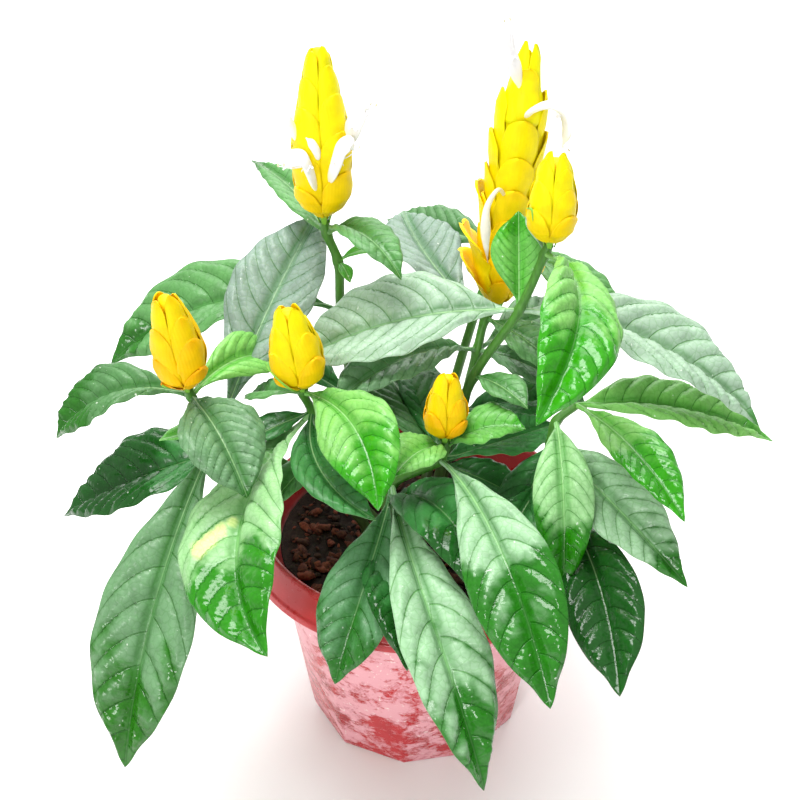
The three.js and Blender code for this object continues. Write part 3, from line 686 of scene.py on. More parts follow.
def waxed_leaf(settings, upper):
    """Leaf blade, grown: waxed and glossy above over sunken veins, and matt and paler below."""
    name = "waxed_leaf_upper" if upper else "leaf_underside"
    gloss = {"Coat_Weight": 0.1, "Coat_Roughness": 0.08} if upper else {"Coat_Weight": 0.0}
    material, tree, shader = new_material(name, IOR=1.42, Specular_IOR_Level=0.42, **gloss)
    where = add_node(tree, "TexCoord").outputs["Object"]
    tone = add_node(tree, "Attribute", {"attribute_name": "tone"})
    place = add_node(tree, "Attribute", {"attribute_name": "place"}).outputs["Vector"]
    split = add_node(tree, "SeparateXYZ", None, {0: place})
    along, across, vein_count = split.outputs

    # Midrib and side veins, in millimetres from the midrib and in shares of the vein gap
    offset = add_node(tree, "Math", {"operation": "ABSOLUTE"}, {0: across}).outputs[0]
    rib = add_node(tree, "MapRange", SMOOTH, {0: offset, 1: 0.12, 2: 0.42, 3: 1.0, 4: 0.0}).outputs[0]
    groove = add_node(tree, "MapRange", SMOOTH, {0: offset, 1: 0.5, 2: 1.1, 3: 0.9, 4: 0.0}).outputs[0]
    between = add_node(tree, "Math", FOLDED, {0: vein_count, 1: 0.5}).outputs[0]
    side = add_node(tree, "MapRange", SMOOTH, {0: between, 1: 0.008, 2: 0.042, 3: 1.0, 4: 0.0}).outputs[0]

    # Net of the finest veins
    cell = MM / settings.net
    flat = add_node(tree, "VectorMath", TIMES, {0: place, 1: (cell, cell, 0.0)}).outputs[0]
    warp = add_node(tree, "TexNoise", None, {"Vector": flat, "Scale": 0.8, "Detail": 2.0}).outputs["Color"]
    bent = add_node(tree, "VectorMath", PLUS, {0: flat, 1: warp}).outputs[0]
    net = add_node(
        tree, "TexVoronoi", {"feature": "DISTANCE_TO_EDGE", "voronoi_dimensions": "2D"},
        {"Vector": bent, "Scale": 1.0}).outputs[0]
    swell = add_node(tree, "MapRange", SMOOTH, {0: net, 1: 0.0, 2: 0.32, 3: 0.0, 4: 1.0}).outputs[0]
    thread = add_node(tree, "MapRange", None, {0: net, 1: 0.02, 2: 0.12, 3: 0.35, 4: 0.0}).outputs[0]
    veins = add_node(tree, "Math", LARGER, {0: side, 1: thread}).outputs[0]
    sunk = add_node(tree, "Math", LARGER, {0: veins, 1: groove}).outputs[0]

    # Colour: the blade's own shade, veins darkened with painted shade above and paler below, the pale midrib,
    # and lime specks or a pale film
    mottle = add_node(
        tree, "TexNoise", None,
        {"Vector": where, "Scale": per_metre(GRAIN["leaf_mottle"]), "Detail": 5.0, "Roughness": 0.65}
    ).outputs[0]
    shade = add_node(tree, "MapRange", None, {0: mottle, 1: 0.3, 2: 0.7, 3: 0.8, 4: 1.14}).outputs[0]
    blade = add_node(tree, "Mix", TINT, {0: 1.0, 6: tone.outputs["Color"], 7: shade}).outputs[2]
    # On the upper face the sunken veins and the midrib's grooves are darkened, painted shade in the grooves;
    # below, the raised veins are paler
    line = (0.5, 0.72, 0.42, 1.0) if upper else (1.25, 1.3, 1.15, 1.0)
    drawn = add_node(tree, "Mix", TINT, {0: sunk, 6: blade, 7: line}).outputs[2]
    near_stalk = 0.5 if upper else 0.7
    fading = add_node(
        tree, "MapRange", None, {0: along, 1: 15.0, 2: 90.0, 3: near_stalk, 4: 0.05}).outputs[0]
    pale_rib = add_node(tree, "Math", TIMES, {0: rib, 1: fading}).outputs[0]
    ribbed = add_node(tree, "Mix", COLOURS, {0: pale_rib, 6: drawn, 7: rgba(settings.rib)}).outputs[2]
    if upper:
        specks = add_node(
            tree, "TexNoise", None,
            {"Vector": where, "Scale": per_metre(GRAIN["lime_speck"]), "Detail": 1.0}).outputs[0]
        film = add_node(tree, "MapRange", None, {0: specks, 1: 0.77, 2: 0.79, 3: 0.0, 4: 0.5}).outputs[0]
        pale = rgba(settings.lime)
    else:
        film = 0.3
        pale = rgba(settings.rib)
    colour = add_node(tree, "Mix", COLOURS, {0: film, 6: ribbed, 7: pale}).outputs[2]

    # Gloss: the wet part of the upper face shines
    if upper:
        wetness = add_node(
            tree, "Math", {**TIMES_PLUS, "use_clamp": True},
            {0: mottle, 1: 0.5, 2: tone.outputs["Alpha"]}).outputs[0]
        rough = add_node(tree, "MapRange", None, {0: wetness, 1: 0.2, 2: 1.1, 3: 0.5, 4: 0.13}).outputs[0]
    else:
        rough = add_node(tree, "MapRange", None, {0: mottle, 1: 0.35, 2: 0.65, 3: 0.55, 4: 0.7}).outputs[0]
    valley = add_node(tree, "Math", TIMES, {0: side, 1: -0.8}).outputs[0]
    relief = add_node(tree, "Math", TIMES_PLUS, {0: swell, 1: 0.2, 2: valley}).outputs[0]
    bump = add_node(
        tree, "Bump", {"invert": not upper}, {"Strength": 0.7, "Distance": 0.0005, "Height": relief}
    ).outputs[0]
    drive(tree, shader, Base_Color=colour, Roughness=rough, Normal=bump)
    return material


def grown_skin(name, grain, shades, gloss, relief, stretch=(1.0, 1.0, 1.0), **fixed):
    """Skin of a stem, bract or petal: one grain clouds its colour, varies its gloss and raises its face."""
    material, tree, shader = new_material(name, **fixed)
    where = add_node(tree, "TexCoord").outputs["Object"]
    drawn = add_node(tree, "VectorMath", TIMES, {0: where, 1: stretch}).outputs[0]
    cloud = add_node(
        tree, "TexNoise", None, {"Vector": drawn, "Scale": per_metre(grain), "Detail": 3.0}).outputs[0]
    tone = add_node(tree, "Attribute", {"attribute_name": "tone"}).outputs["Color"]
    shade = add_node(
        tree, "MapRange", None, {0: cloud, 1: 0.3, 2: 0.7, 3: shades[0], 4: shades[1]}).outputs[0]
    colour = add_node(tree, "Mix", TINT, {0: 1.0, 6: tone, 7: shade}).outputs[2]
    rough = add_node(tree, "MapRange", None, {0: cloud, 1: 0.3, 2: 0.7, 3: gloss[0], 4: gloss[1]}).outputs[0]
    bump = add_node(tree, "Bump", None, {"Strength": 0.4, "Distance": relief, "Height": cloud})
    drive(tree, shader, Base_Color=colour, Roughness=rough, Normal=bump.outputs[0])
    return material, tree, cloud, bump


def green_stem():
    """Young woody stem, grown: smooth green skin with fibres along it, duller toward the soil."""
    return grown_skin(
        "green_stem", GRAIN["stem_fibre"], (0.75, 1.2), (0.38, 0.6), 0.0002, (1.0, 1.0, 0.12),
        IOR=1.42, Coat_Weight=0.1, Coat_Roughness=0.3)[0]


def waxy_bract(settings):
    """Bract, grown: a thick waxy skin that lets some light through, with fine veins toward its point."""
    material, tree, cloud, bump = grown_skin(
        "waxy_bract", GRAIN["bract_cloud"], (0.9, 1.05), (0.4, 0.58), 0.0002,
        IOR=1.42, Specular_IOR_Level=0.2, Subsurface_Weight=0.25, Subsurface_Radius=(0.003, 0.0022, 0.0005))
    place = add_node(tree, "Attribute", {"attribute_name": "place"}).outputs["Vector"]
    across = add_node(tree, "SeparateXYZ", None, {0: place}).outputs[1]
    vein = add_node(tree, "Math", TIMES, {0: across, 1: MM / settings.vein_gap}).outputs[0]
    groove = add_node(tree, "Math", FOLDED, {0: vein, 1: 0.5}).outputs[0]
    relief = add_node(tree, "Math", TIMES_PLUS, {0: cloud, 1: 3.0, 2: groove}).outputs[0]
    tree.links.new(relief, bump.inputs["Height"])
    return material


def soft_petal():
    """Petal, grown: thin white tissue with a silky, slightly crumpled face."""
    return grown_skin(
        "soft_petal", GRAIN["petal_crumple"], (0.94, 1.02), (0.5, 0.7), 0.0003,
        IOR=1.38, Subsurface_Weight=0.2, Subsurface_Radius=(0.002, 0.002, 0.0018), Sheen_Weight=0.1)[0]


def matt_board(settings):
    """Painted board, rolled: a plain matt floor."""
    material, tree, shader = new_material("matt_board", Roughness=0.85)
    shader.inputs["Base Color"].default_value = rgba(settings.floor)
    return material


# Pot and soil

def pot_wall(height):
    """Outer radius of the pot's wall at a height."""
    return POT["base_radius"] + (POT["neck_radius"] - POT["base_radius"]) * height / POT["neck_height"]


def pot_rings(profile):
    """Rings of the pot's round wall, which turns into flat facets toward its base."""
    sides = POT["sides"]
    turn = np.arange(sides) * 360 / sides
    facet = 360 / POT["facets"]
    flat = math.cos(math.radians(facet / 2)) / np.cos(np.radians(turn % facet - facet / 2))
    a = np.radians(POT["facet_turn"] + turn)
    rings = []
    for radius, z in profile:
        share = max(0, 1 - z / POT["facet_height"])
        r = radius * (1 - share + share * flat)
        rings.append(np.stack([r * np.cos(a), r * np.sin(a), np.full(sides, float(z))], -1))
    return np.array(rings)


def rounded(corners, radius):
    """The profile with each corner replaced by an arc of about the radius."""
    corners = [np.array(c, float) for c in corners]
    made = [corners[0]]
    for before, corner, after in zip(corners[:-2], corners[1:-1], corners[2:]):
        back = before - corner
        ahead = after - corner
        cut = min(radius, 0.45 * np.linalg.norm(back), 0.45 * np.linalg.norm(ahead))
        start = corner + unit(back) * cut
        end = corner + unit(ahead) * cut
        for t in (0, 0.33, 0.67, 1):
            made.append(start * (1 - t) ** 2 + corner * 2 * t * (1 - t) + end * t * t)
    made.append(corners[-1])
    return made


def make_pot(settings):
    """The pot: up the outer wall, under and over the flared collar, round the lip and down the inner wall."""
    top = POT["height"]
    neck = POT["neck_height"]
    skirt = POT["skirt_radius"]
    lip = POT["lip_radius"]
    wall = POT["wall"]
    inside = POT["floor"]
    mid = POT["facet_height"]
    corners = [
        (POT["hub_radius"], 0),
        (POT["base_radius"] - 0.8, 0),
        (POT["base_radius"], 1),
        *[(pot_wall(z), z) for z in (12, 24, 36, 48, mid, 75, 90, neck)],
        (lip - 2.1, top - 3.4),
        (lip - 0.8, top - 3.2),
        (skirt - wall, neck + 0.4),
        (skirt - 0.6, neck),
        (skirt, neck + 0.7),
        (skirt - 0.9, neck + 3.6),
        (skirt - 1.9, neck + 4.3),
        (lip + 0.9, top - 1.2),
        (lip, top),
        (lip - 1.4, top),
        (lip - 2.9, top - 2),
        *[(pot_wall(z) - wall, z) for z in (SOIL["top"] + 1, mid, inside)],
        (POT["hub_radius"], inside),
    ]
    growth = Growth()
    growth.loft(pot_rings(rounded(corners, settings.rim_round / MM)), settings.body)
    return growth.piece("moulded_pot", [moulded_polypropylene(settings)], "pot_plastic", ["pot"])


def drill(piece):
    """Cuts the round drain holes through the pot's floor."""
    growth = Growth()
    for i in range(DRAIN["count"]):
        a = math.radians(DRAIN["turn"] + 360 * i / DRAIN["count"])
        centre = np.array([math.cos(a), math.sin(a), 0]) * DRAIN["ring"]
        rings = [centre + circle(DRAIN["radius"], DRAIN["sides"], z) for z in (-1, POT["floor"] + 1)]
        growth.loft(np.array(rings), (0, 0, 0))
    cutter = mesh_object("drain_cutters", np.concatenate(growth.points), growth.faces)
    boolean = piece.modifiers.new("drain", "BOOLEAN")
    boolean.object = cutter
    boolean.operation = "DIFFERENCE"
    bpy.context.view_layer.objects.active = piece
    bpy.ops.object.modifier_apply(modifier="drain")
    bpy.data.objects.remove(cutter)


def bark_chip(draws, longest):
    """A flat ragged chip of bark, in layers and lying askew, and how dry it is. Most chips are small."""
    size = longest * (0.25 + 0.75 * draws() ** 2.2)
    spin = Matrix.Rotation(6.3 * draws(), 3, "Z") @ Matrix.Rotation(1.7 * (draws() - 0.5), 3, "X")
    spin = np.array(spin @ Matrix.Rotation(1.1 * (draws() - 0.5), 3, "Y"))
    dryness = draws() ** 1.5
    turn = np.linspace(0, 2 * math.pi, CHIP["corners"], endpoint=False) + 0.5 * draws()
    ragged = size * np.array([0.6 + 0.7 * draws() for _ in turn])
    outline = np.stack(
        [ragged * CHIP["long"] * np.cos(turn), ragged * CHIP["broad"] * np.sin(turn), 0 * turn], -1)
    slip = CHIP["slip"] * size * (draws() - 0.5)
    layers = [outline * breadth + (slip * level * 5, 0, level * size) for level, breadth in CHIP_LAYERS]
    return np.array(layers) @ spin.T, dryness


def make_soil(settings):
    """Crumbly soil top with bark chips half sunk in it, as one piece down to the pot's floor."""
    growth = Growth()
    top = SOIL["top"]
    peat = np.array(settings.peat)
    bark = np.array(settings.bark)
    edge = pot_wall(top) - POT["wall"] - 0.3
    rings = []
    for r in np.linspace(1.5, edge, SOIL["rings"]):
        ring = circle(r, SOIL["sides"])
        for point in ring:
            lumps = noise.fractal(Vector(point) / SOIL["lump"], 0.8, 2.1, 5)
            point[2] = top + SOIL["lump_height"] * lumps * (1 if r < edge - 2 else 0.3)
        rings.append(ring)
    flat = math.cos(math.pi / POT["facets"])
    for z in (POT["facet_height"], POT["floor"] + 0.3):
        r = pot_wall(z) * flat ** (1 - z / POT["facet_height"]) - POT["wall"] - 0.4
        rings.append(circle(r, SOIL["sides"], z))
    growth.loft(np.array(rings), peat)
    draws = Draws(SOIL["seed"])
    for _ in range(settings.chips):
        a = 2 * math.pi * draws()
        r = (edge - 5) * math.sqrt(draws())
        chip, dryness = bark_chip(draws, settings.chip_length / MM)
        place = (r * math.cos(a), r * math.sin(a), top + 0.6 + 1.2 * draws())
        growth.loft(chip + place, blend(peat * 1.5, bark, dryness))
    return growth.piece("soil_with_bark", [peat_and_bark(settings)], "soil", ["soil"])


# Leaves and stems

def leaf_half(share, width, belly):
    """Half width of a leaf by the share of its length, with the stalk's own width at its foot."""
    power = math.log(0.5) / math.log(belly)
    swell = np.maximum(0, np.sin(math.pi * share ** power))
    waist = 1 - 0.2 * np.exp(-((share - 0.94) / 0.045) ** 2)
    half = 0.5 * width * swell ** (1.35 - 0.45 * share) * waist
    return np.maximum(half, np.where(share < 0.5, LEAF["petiole_half"], 0.12))


def leaf_course(root, row, share):
    """The leaf's middle line, and the directions across it and out of its face, by share of the length."""
    _, heading, rise, droop, swing, length, _, roll, *_ = row

    def direction(at):
        e = np.radians(rise - droop * at)
        h = np.radians(heading + swing * at)
        return np.stack([np.cos(e) * np.cos(h), np.cos(e) * np.sin(h), np.sin(e)], -1)

    walked = np.cumsum(direction((share[1:] + share[:-1]) / 2), 0) * length / (len(share) - 1)
    spine = np.asarray(root, float) + np.concatenate([np.zeros((1, 3)), walked])
    h = np.radians(heading + swing * share)
    level = np.stack([-np.sin(h), np.cos(h), 0 * h], -1)
    normal = np.cross(direction(share), level)
    lean = math.radians(roll)
    side = level * math.cos(lean) + normal * math.sin(lean)
    up = normal * math.cos(lean) - level * math.sin(lean)
    return spine[:, None], side[:, None], up[:, None]


def leaf_tones(settings, row, draws, patches, along, across, inner, dome, phase):
    """Colours of a leaf with its wetness as the fourth value: dull with a painted sky sheen toward the stalk,
    and deep and wet from a ragged line to the tip; deep beside the midrib and in vein valleys as painted
    shade.
    """
    length, width, _, belly, shade, wet_unsheened_from = row[5:]
    s = along / length
    half = leaf_half(s, width, belly)
    petiole = 1 - ease(0.02, 0.16, s)
    sheen_painted_green, deep = (np.array(linear(code)) for code in SHADES[shade])
    variety = 0.94 + 0.12 * draws()
    spots = np.array([[noise.noise(Vector((x * 0.05, y * 0.08, phase)))
                       + 0.35 * noise.noise(Vector((x * 0.3, y * 0.3, phase)))
                       for x, y in zip(*line)] for line in zip(along, across)])
    # The painted sky sheen ends at a ragged line, further toward the tip at the margins and on the crests
    # between side veins
    ragged = PAINTED_SHEEN_EDGE["spots"] * spots - PAINTED_SHEEN_EDGE["edge"] * abs(across / half) + PAINTED_SHEEN_EDGE["veins"] * inner * (0.5 - dome)
    wet = ease(-PAINTED_SHEEN_EDGE["band"], PAINTED_SHEEN_EDGE["band"], s + ragged - wet_unsheened_from)
    # Deep green with no painted sheen beside the midrib and in the valleys between side veins: painted shade
    # in the grooves
    beside_rib = np.exp(-(abs(across) / 1.7 - 1.1) ** 2 * 3)
    wet = np.maximum(wet, 0.6 * beside_rib * (1 - petiole))
    wet = np.maximum(wet, 0.4 * inner * (1 - dome) ** 2)
    tones = blend(sheen_painted_green, deep, wet[..., None]) * variety
    for patch_share, patch_side, radius in patches:
        distance = np.hypot(along - length * patch_share, 1.3 * (across - half * patch_side)) + 2 * spots
        near = (1 - ease(0.6, 1.0, distance / radius))[..., None]
        tones = blend(tones, np.array(settings.worn), 0.85 * near)
    return np.concatenate([tones, wet[..., None]], -1)


def add_leaf(growth, settings, root, row, draws, patches):
    """One leaf: a folded, drooping blade that swells between its sunken veins, on a short round stalk."""
    length, width, _, belly = row[5:9]
    step = settings.step / MM
    rows = max(14, round(length / step))
    columns = 2 * max(5, round(width / step / 2.2))
    share = np.linspace(0, 1, rows + 1)
    spine, side, up = leaf_course(root, row, share)

    s = share[:, None]
    v = np.linspace(-1, 1, columns + 1)[None]
    away = abs(v)
    half = leaf_half(s, width, belly)
    along = length * s + 0 * away
    across = half * v
    petiole = 1 - ease(0.02, 0.16, s)
    blade = 1 - petiole

    # Fold along the midrib, waves of the margins and bulge of the two halves
    phase = 2 * math.pi * draws()
    wave = LEAF["wave"] * width * (0.6 + 0.4 * draws())
    fold = math.radians(LEAF["fold"])
    crease = np.sqrt(away ** 2 + 0.01) - 0.1
    sway = np.sin(phase + 11 * s + np.where(v > 0, 1.6, 0)) * np.sin(math.pi * s)
    lift = half * crease * math.sin(fold) * blade + wave * away ** 2 * sway
    bulge = 0.05 * half * np.sin(math.pi * away) * blade

    # Side veins arch toward the tip, take turns on the two sides, and have a ladder of cross veins between
    gap = max(LEAF["least_vein_gap"], settings.vein_gap * length)
    arch = 0.25 * abs(across) + 1.8 * across ** 2 / width
    veins = (along - arch) / gap + 0.5 * (v > 0) + 0.08 * np.sin(7 * s + phase)
    dome = np.sin(math.pi * (veins % 1)) ** 0.55
    rung = along + 0.2 * abs(across) + 2 * np.sin(0.3 * across)
    ladder = abs(np.sin(math.pi * rung / (0.27 * gap))) ** 0.7
    inner = ease(0.4, 5, abs(across)) * ease(0, 0.25, 1 - away) * ease(0.03, 0.2, s) * ease(0, 0.12, 1 - s)
    size = min(1.0, width / LEAF["full_width"])
    quilt = settings.quilt / MM * size * inner * (dome + 0.5 * ladder * (0.45 + 0.55 * away))
    groove = size * np.exp(-(across / LEAF["midrib_half"]) ** 2) * blade * ease(0, 0.3, 1 - s)
    thread = 0.15 * size * np.exp(-(across / 0.55) ** 2)
    ruffle = LEAF["ruffle"] * size ** 1.5 * away ** 5 * np.sin(2 * math.pi * along / (1.7 * gap) + phase)
    ruffle = ruffle * ease(0.1, 0.3, s) * ease(0, 0.2, 1 - s)

    # Thin at the margins, and round at the stalk
    round_stalk = np.maximum(np.sqrt(np.maximum(0, 1 - v ** 2)), 0.08)
    thick = LEAF["thickness"] / 2 * blade * (0.35 + 0.65 * (1 - away ** 3))
    thick = thick + LEAF["petiole_thickness"] / 2 * petiole * round_stalk
    middle = spine + side * (across * math.cos(fold))[..., None]
    core = lift + bulge + ruffle
    top = core + quilt - LEAF["midrib_depth"] * groove + thread + thick
    low = core + 0.8 * quilt - groove - thick
    tones = leaf_tones(settings, row, draws, patches, along, across, inner, dome, phase)
    places = np.stack([along, across, veins], -1)
    growth.shell(middle + up * top[..., None], middle + up * low[..., None], tones, places, back_kind=1)


def add_stem(growth, settings, name):
    """A stem with four soft ribs, thicker at each node, from its foot in the soil to its head."""
    nodes = STEMS[name]
    x, y = nodes[0]
    stations = [(x, y, STEM["foot"]), (x, y, STEM["bend"]), *nodes[1:]]
    if name in HEADS:
        base = np.array(HEADS[name]["base"], float)
        axis = unit(np.array(HEADS[name]["tip"]) - base)
        stations[-1] = tuple(base - 0.3 * axis)
    path = smooth_path(stations, 1.5)
    share = np.linspace(0, 1, len(path))
    radii = STEM["base_radius"] + (STEM["top_radius"] - STEM["base_radius"]) * share
    for node in nodes[1:-1]:
        distance = np.linalg.norm(path - np.array(node), axis=1)
        radii = radii + STEM["node_swell"] * np.exp(-(distance / STEM["node_reach"]) ** 2)
    tones = blend(np.array(settings.old_stem), np.array(settings.stem), ease(0.1, 0.8, share)[:, None])
    growth.loft(rings_along(path, radii, radii, 16, corners=0.05), tones, kind=2)


def leaf_draws(draws, wear):
    """The two draws that the leaf solids take, and then any number of others."""
    first = [draws(), draws()]
    return lambda: first.pop(0) if first else wear()


def make_shoot(settings, name, seed, materials):
    """A stem with all its leaves as one piece."""
    growth = Growth()
    draws = Draws(seed)
    wear = Draws(seed + 50)
    add_stem(growth, settings, name)
    for index, row in enumerate(LEAVES[name]):
        patches = PATCHES.get((name, index), ())
        add_leaf(growth, settings, STEMS[name][row[0]], row, leaf_draws(draws, wear), patches)
    return growth.piece("leafy_stem_" + name, materials, "leaf", ["shoot_" + name])


# Bract heads

def head_outline(head):
    """A function that gives the radius of a head by length along its axis."""
    stations, radii = zip(*OUTLINE[head["shape"]])
    reach = math.dist(head["base"], head["tip"])
    return lambda s: head["radius"] * np.interp(s / reach, stations, radii)


def head_frame(head):
    """A function that gives points of a head by length along its axis, radius and azimuth from the front."""
    base = np.array(head["base"], float)
    axis = unit(np.array(head["tip"], float) - base)
    front = unit(np.array([0, -1, 0]) + axis[1] * axis)
    side = np.cross(axis, front)

    def at(s, r, azimuth):
        a = np.radians(azimuth)
        forward = np.expand_dims(r * np.cos(a), -1)
        sideways = np.expand_dims(r * np.sin(a), -1)
        return base + axis * np.expand_dims(s, -1) + front * forward + side * sideways

    return at


def add_bract(growth, head, start, tip, azimuth, below, flare, breadth, tone):
    """One bract: lies under the older ones of its rank as far as their points, then shows its own dome."""
    at = head_frame(head)
    outline = head_outline(head)
    u = 1 - (1 - np.linspace(0, 1, 31)[:, None]) ** 1.5
    v = np.linspace(-1, 1, 21)[None]
    even = 0 * u + 0 * v
    s = start + (tip - start) * u
    left = tip - s
    covered = sum((BRACT["step"] * ease(other + 6, other - 3, s) for other in below), 0 * s)
    foot = BRACT["foot_radius"]
    r = np.maximum(outline(s) - covered + flare * u * u, foot + 0.3)
    r = foot + (r - foot) * ease(-0.05, 0.12, u)

    # Breadth: full below, and closing in a dome toward the point
    depth = max(head["dome"] * outline(tip) + 1.5, head["notch"])
    closing = np.maximum(0, 1 - (1 - np.minimum(1, left / depth)) ** 2.2) ** 0.55
    tapered = 0.85 + 0.15 * np.minimum(1, left / BRACT["round"])
    spread = BRACT["half_angle"] * breadth * tapered * (0.03 + 0.97 * closing)

    # Margins: tucked in, with a thin upright edge, and ragged where the bract stands off
    dip = 0.14 * r * abs(v) ** 2.5
    margin = 0.4 * abs(v) ** 12 * ease(0.05, 0.3, u) + 0.35 * flare * abs(v) ** 4 * ease(0.2, 0.8, u)
    wave = (0.25 + 0.12 * flare) * v * v * np.sin(9 * u + 2.5 * v + azimuth)
    a = azimuth + v * spread + 0.5 * flare * v * v * np.sin(21 * u + 3 * v)
    outer = np.maximum(r - dip + margin + wave, 1.1)
    thin = BRACT["thickness"] * (0.5 + 0.5 * (1 - v ** 4))
    body_tone, edge_tone = tone
    tones = blend(edge_tone, body_tone, (ease(0, 7, left) + even)[..., None])
    places = np.stack([s + even, r * np.radians(a - azimuth), even], -1)
    growth.shell(at(s + even, outer, a), at(s + even, np.maximum(outer - thin, 0.5), a), tones, places)


def add_core(growth, head, tone):
    """The head's axis, inside its bracts, to just below the points of the last pair."""
    at = head_frame(head)
    outline = head_outline(head)
    reach = math.dist(head["base"], head["tip"])
    top = min(head["pairs"][-1] - 2, reach - max(3, 0.7 * head["notch"]))
    turn = np.linspace(0, 360, CORE["sides"], endpoint=False)
    rings = []
    for s in np.linspace(0, top, CORE["rings"]):
        r = max(outline(s) - CORE["depth"], CORE["share"] * outline(s))
        rings.append(at(np.full(len(turn), s), np.full(len(turn), r), turn))
    growth.loft(np.array(rings), tone)


def add_calyx(growth, head, green, yellow):
    """Four small bracts that hold the head from below."""
    at = head_frame(head)
    u = np.linspace(0, 1, 9)[:, None]
    v = np.linspace(-1, 1, 7)[None]
    s = CALYX["length"] * u - CALYX["below"] + 0 * v
    r = CALYX["radius"] + CALYX["flare"] * u + 0.25 * v * v
    width = CALYX["half_angle"] * np.sin(math.pi * np.minimum(1, 0.25 + 0.75 * u)) + 1
    tones = blend(green, yellow, (ease(0.4, 1, u) + 0 * v)[..., None])
    for quarter in range(4):
        a = head["turn"] + 45 + 90 * quarter + v * width
        growth.shell(at(s, r, a), at(s, r - CALYX["thickness"], a), tones)


def make_head(settings, name, seed, materials):
    """A spike of bracts in pairs, each pair crossed over the one below, with its calyx."""
    head = HEADS[name]
    pairs = head["pairs"]
    reach = math.dist(head["base"], head["tip"])
    growth = Growth()
    draws = Draws(seed)
    fresh = np.array(settings.fresh)
    full = np.array(settings.full)
    old = np.array(settings.old)
    calyx = np.array(settings.calyx)
    add_core(growth, head, full)
    for k, tip in enumerate(pairs):
        share = k / (len(pairs) - 1)
        age = RIPENESS[name] * (0.4 + 0.3 * (1 - share) ** 1.5)
        body = blend(blend(full, fresh, min(1, 0.15 + share)), old, age)
        # Each bract is oranger over its last 7 mm toward its point, more so on a riper head
        edge = blend(body, old, 0.1 + 0.5 * age)
        flare = 2.2 if head["shape"] == "column" else 1.2 if k < 2 else 0.5
        start = max(1.5 + 0.2 * k, tip - BRACT["reach"])
        older = pairs[k % 2:k:2]
        for half in (0, 180):
            azimuth = head["turn"] + 90 * k + half + 3 * (draws() - 0.5)
            behind = k > len(pairs) - 4 and math.cos(math.radians(azimuth)) < -0.3
            add_bract(growth, head, start, tip - 3 * behind, azimuth, older, flare, 1, (body, edge))
    for start, tip, azimuth, flare, breadth in LOOSE_BRACTS.get(name, ()):
        body = blend(full, fresh, tip / reach)
        edge = blend(body, old, 0.25 * (1 - tip / reach))
        add_bract(growth, head, start, tip, azimuth, (), flare, breadth, (body, edge))
    if name in SEPALS:
        at = head_frame(head)
        outline = head_outline(head)
        line = smooth_path([at(float(s), outline(s) + 0.9, float(a)) for s, a in SEPALS[name]], 0.6)
        slim = 0.55 * np.sin(np.linspace(0.4, math.pi - 0.15, len(line)))
        growth.loft(rings_along(line, slim, slim, 8, (0, -1, 0.3)), calyx)
    add_calyx(growth, head, calyx, full)
    return growth.piece("bract_spike_" + name, materials, "bract", ["head_" + name])


# Flowers

def add_lobes(growth, mouth, ahead, out, side, white):
    """The lower lip: three curled lobes from the mouth of the tube."""
    t = np.linspace(0, 1, 13)[:, None]
    v = np.linspace(-1, 1, 9)[None]
    width = PETAL["lobe_half"] * np.sin(math.pi * np.minimum(1, 0.22 + 0.78 * t) ** 0.9) + 0.1
    for lean in (-PETAL["lean"], 0, PETAL["lean"]):
        reach = PETAL["lobe"] if lean else PETAL["middle_lobe"]
        run = unit(ahead * 0.7 + out * 0.7 + side * lean)
        across = unit(np.cross(run, out))
        curl = -PETAL["curl"] * (reach * t) ** 2
        middle = mouth + run * (reach * t)[..., None] + across * (width * v)[..., None]
        middle = middle + ahead * (curl + 0.25 * v * v)[..., None]
        skin = out * PETAL["thickness"] / 2
        growth.shell(middle + skin, middle - skin, white)


def add_stamens(growth, mouth, lip, ahead, out, side, white, anther):
    """Two threads that reach past the lip, each with a pollen sac at its tip."""
    for offset in (-STAMEN["apart"], STAMEN["apart"]):
        start = mouth + side * offset
        tip = lip + side * offset * 1.6 + ahead * STAMEN["past_lip"]
        thread = smooth_path([start, (start + tip) / 2 + out * 1.2, tip], 0.8)
        slim = np.full(len(thread), STAMEN["radius"])
        growth.loft(rings_along(thread, slim, slim, 6, side), white)
        sac = smooth_path([tip - ahead * POLLEN_SAC["before"], tip, tip + ahead * POLLEN_SAC["after"]], 0.4)
        fat = POLLEN_SAC["radius"] * np.sin(np.linspace(0.3, math.pi - 0.3, len(sac)))
        growth.loft(rings_along(sac, fat, fat, 8, side), anther)


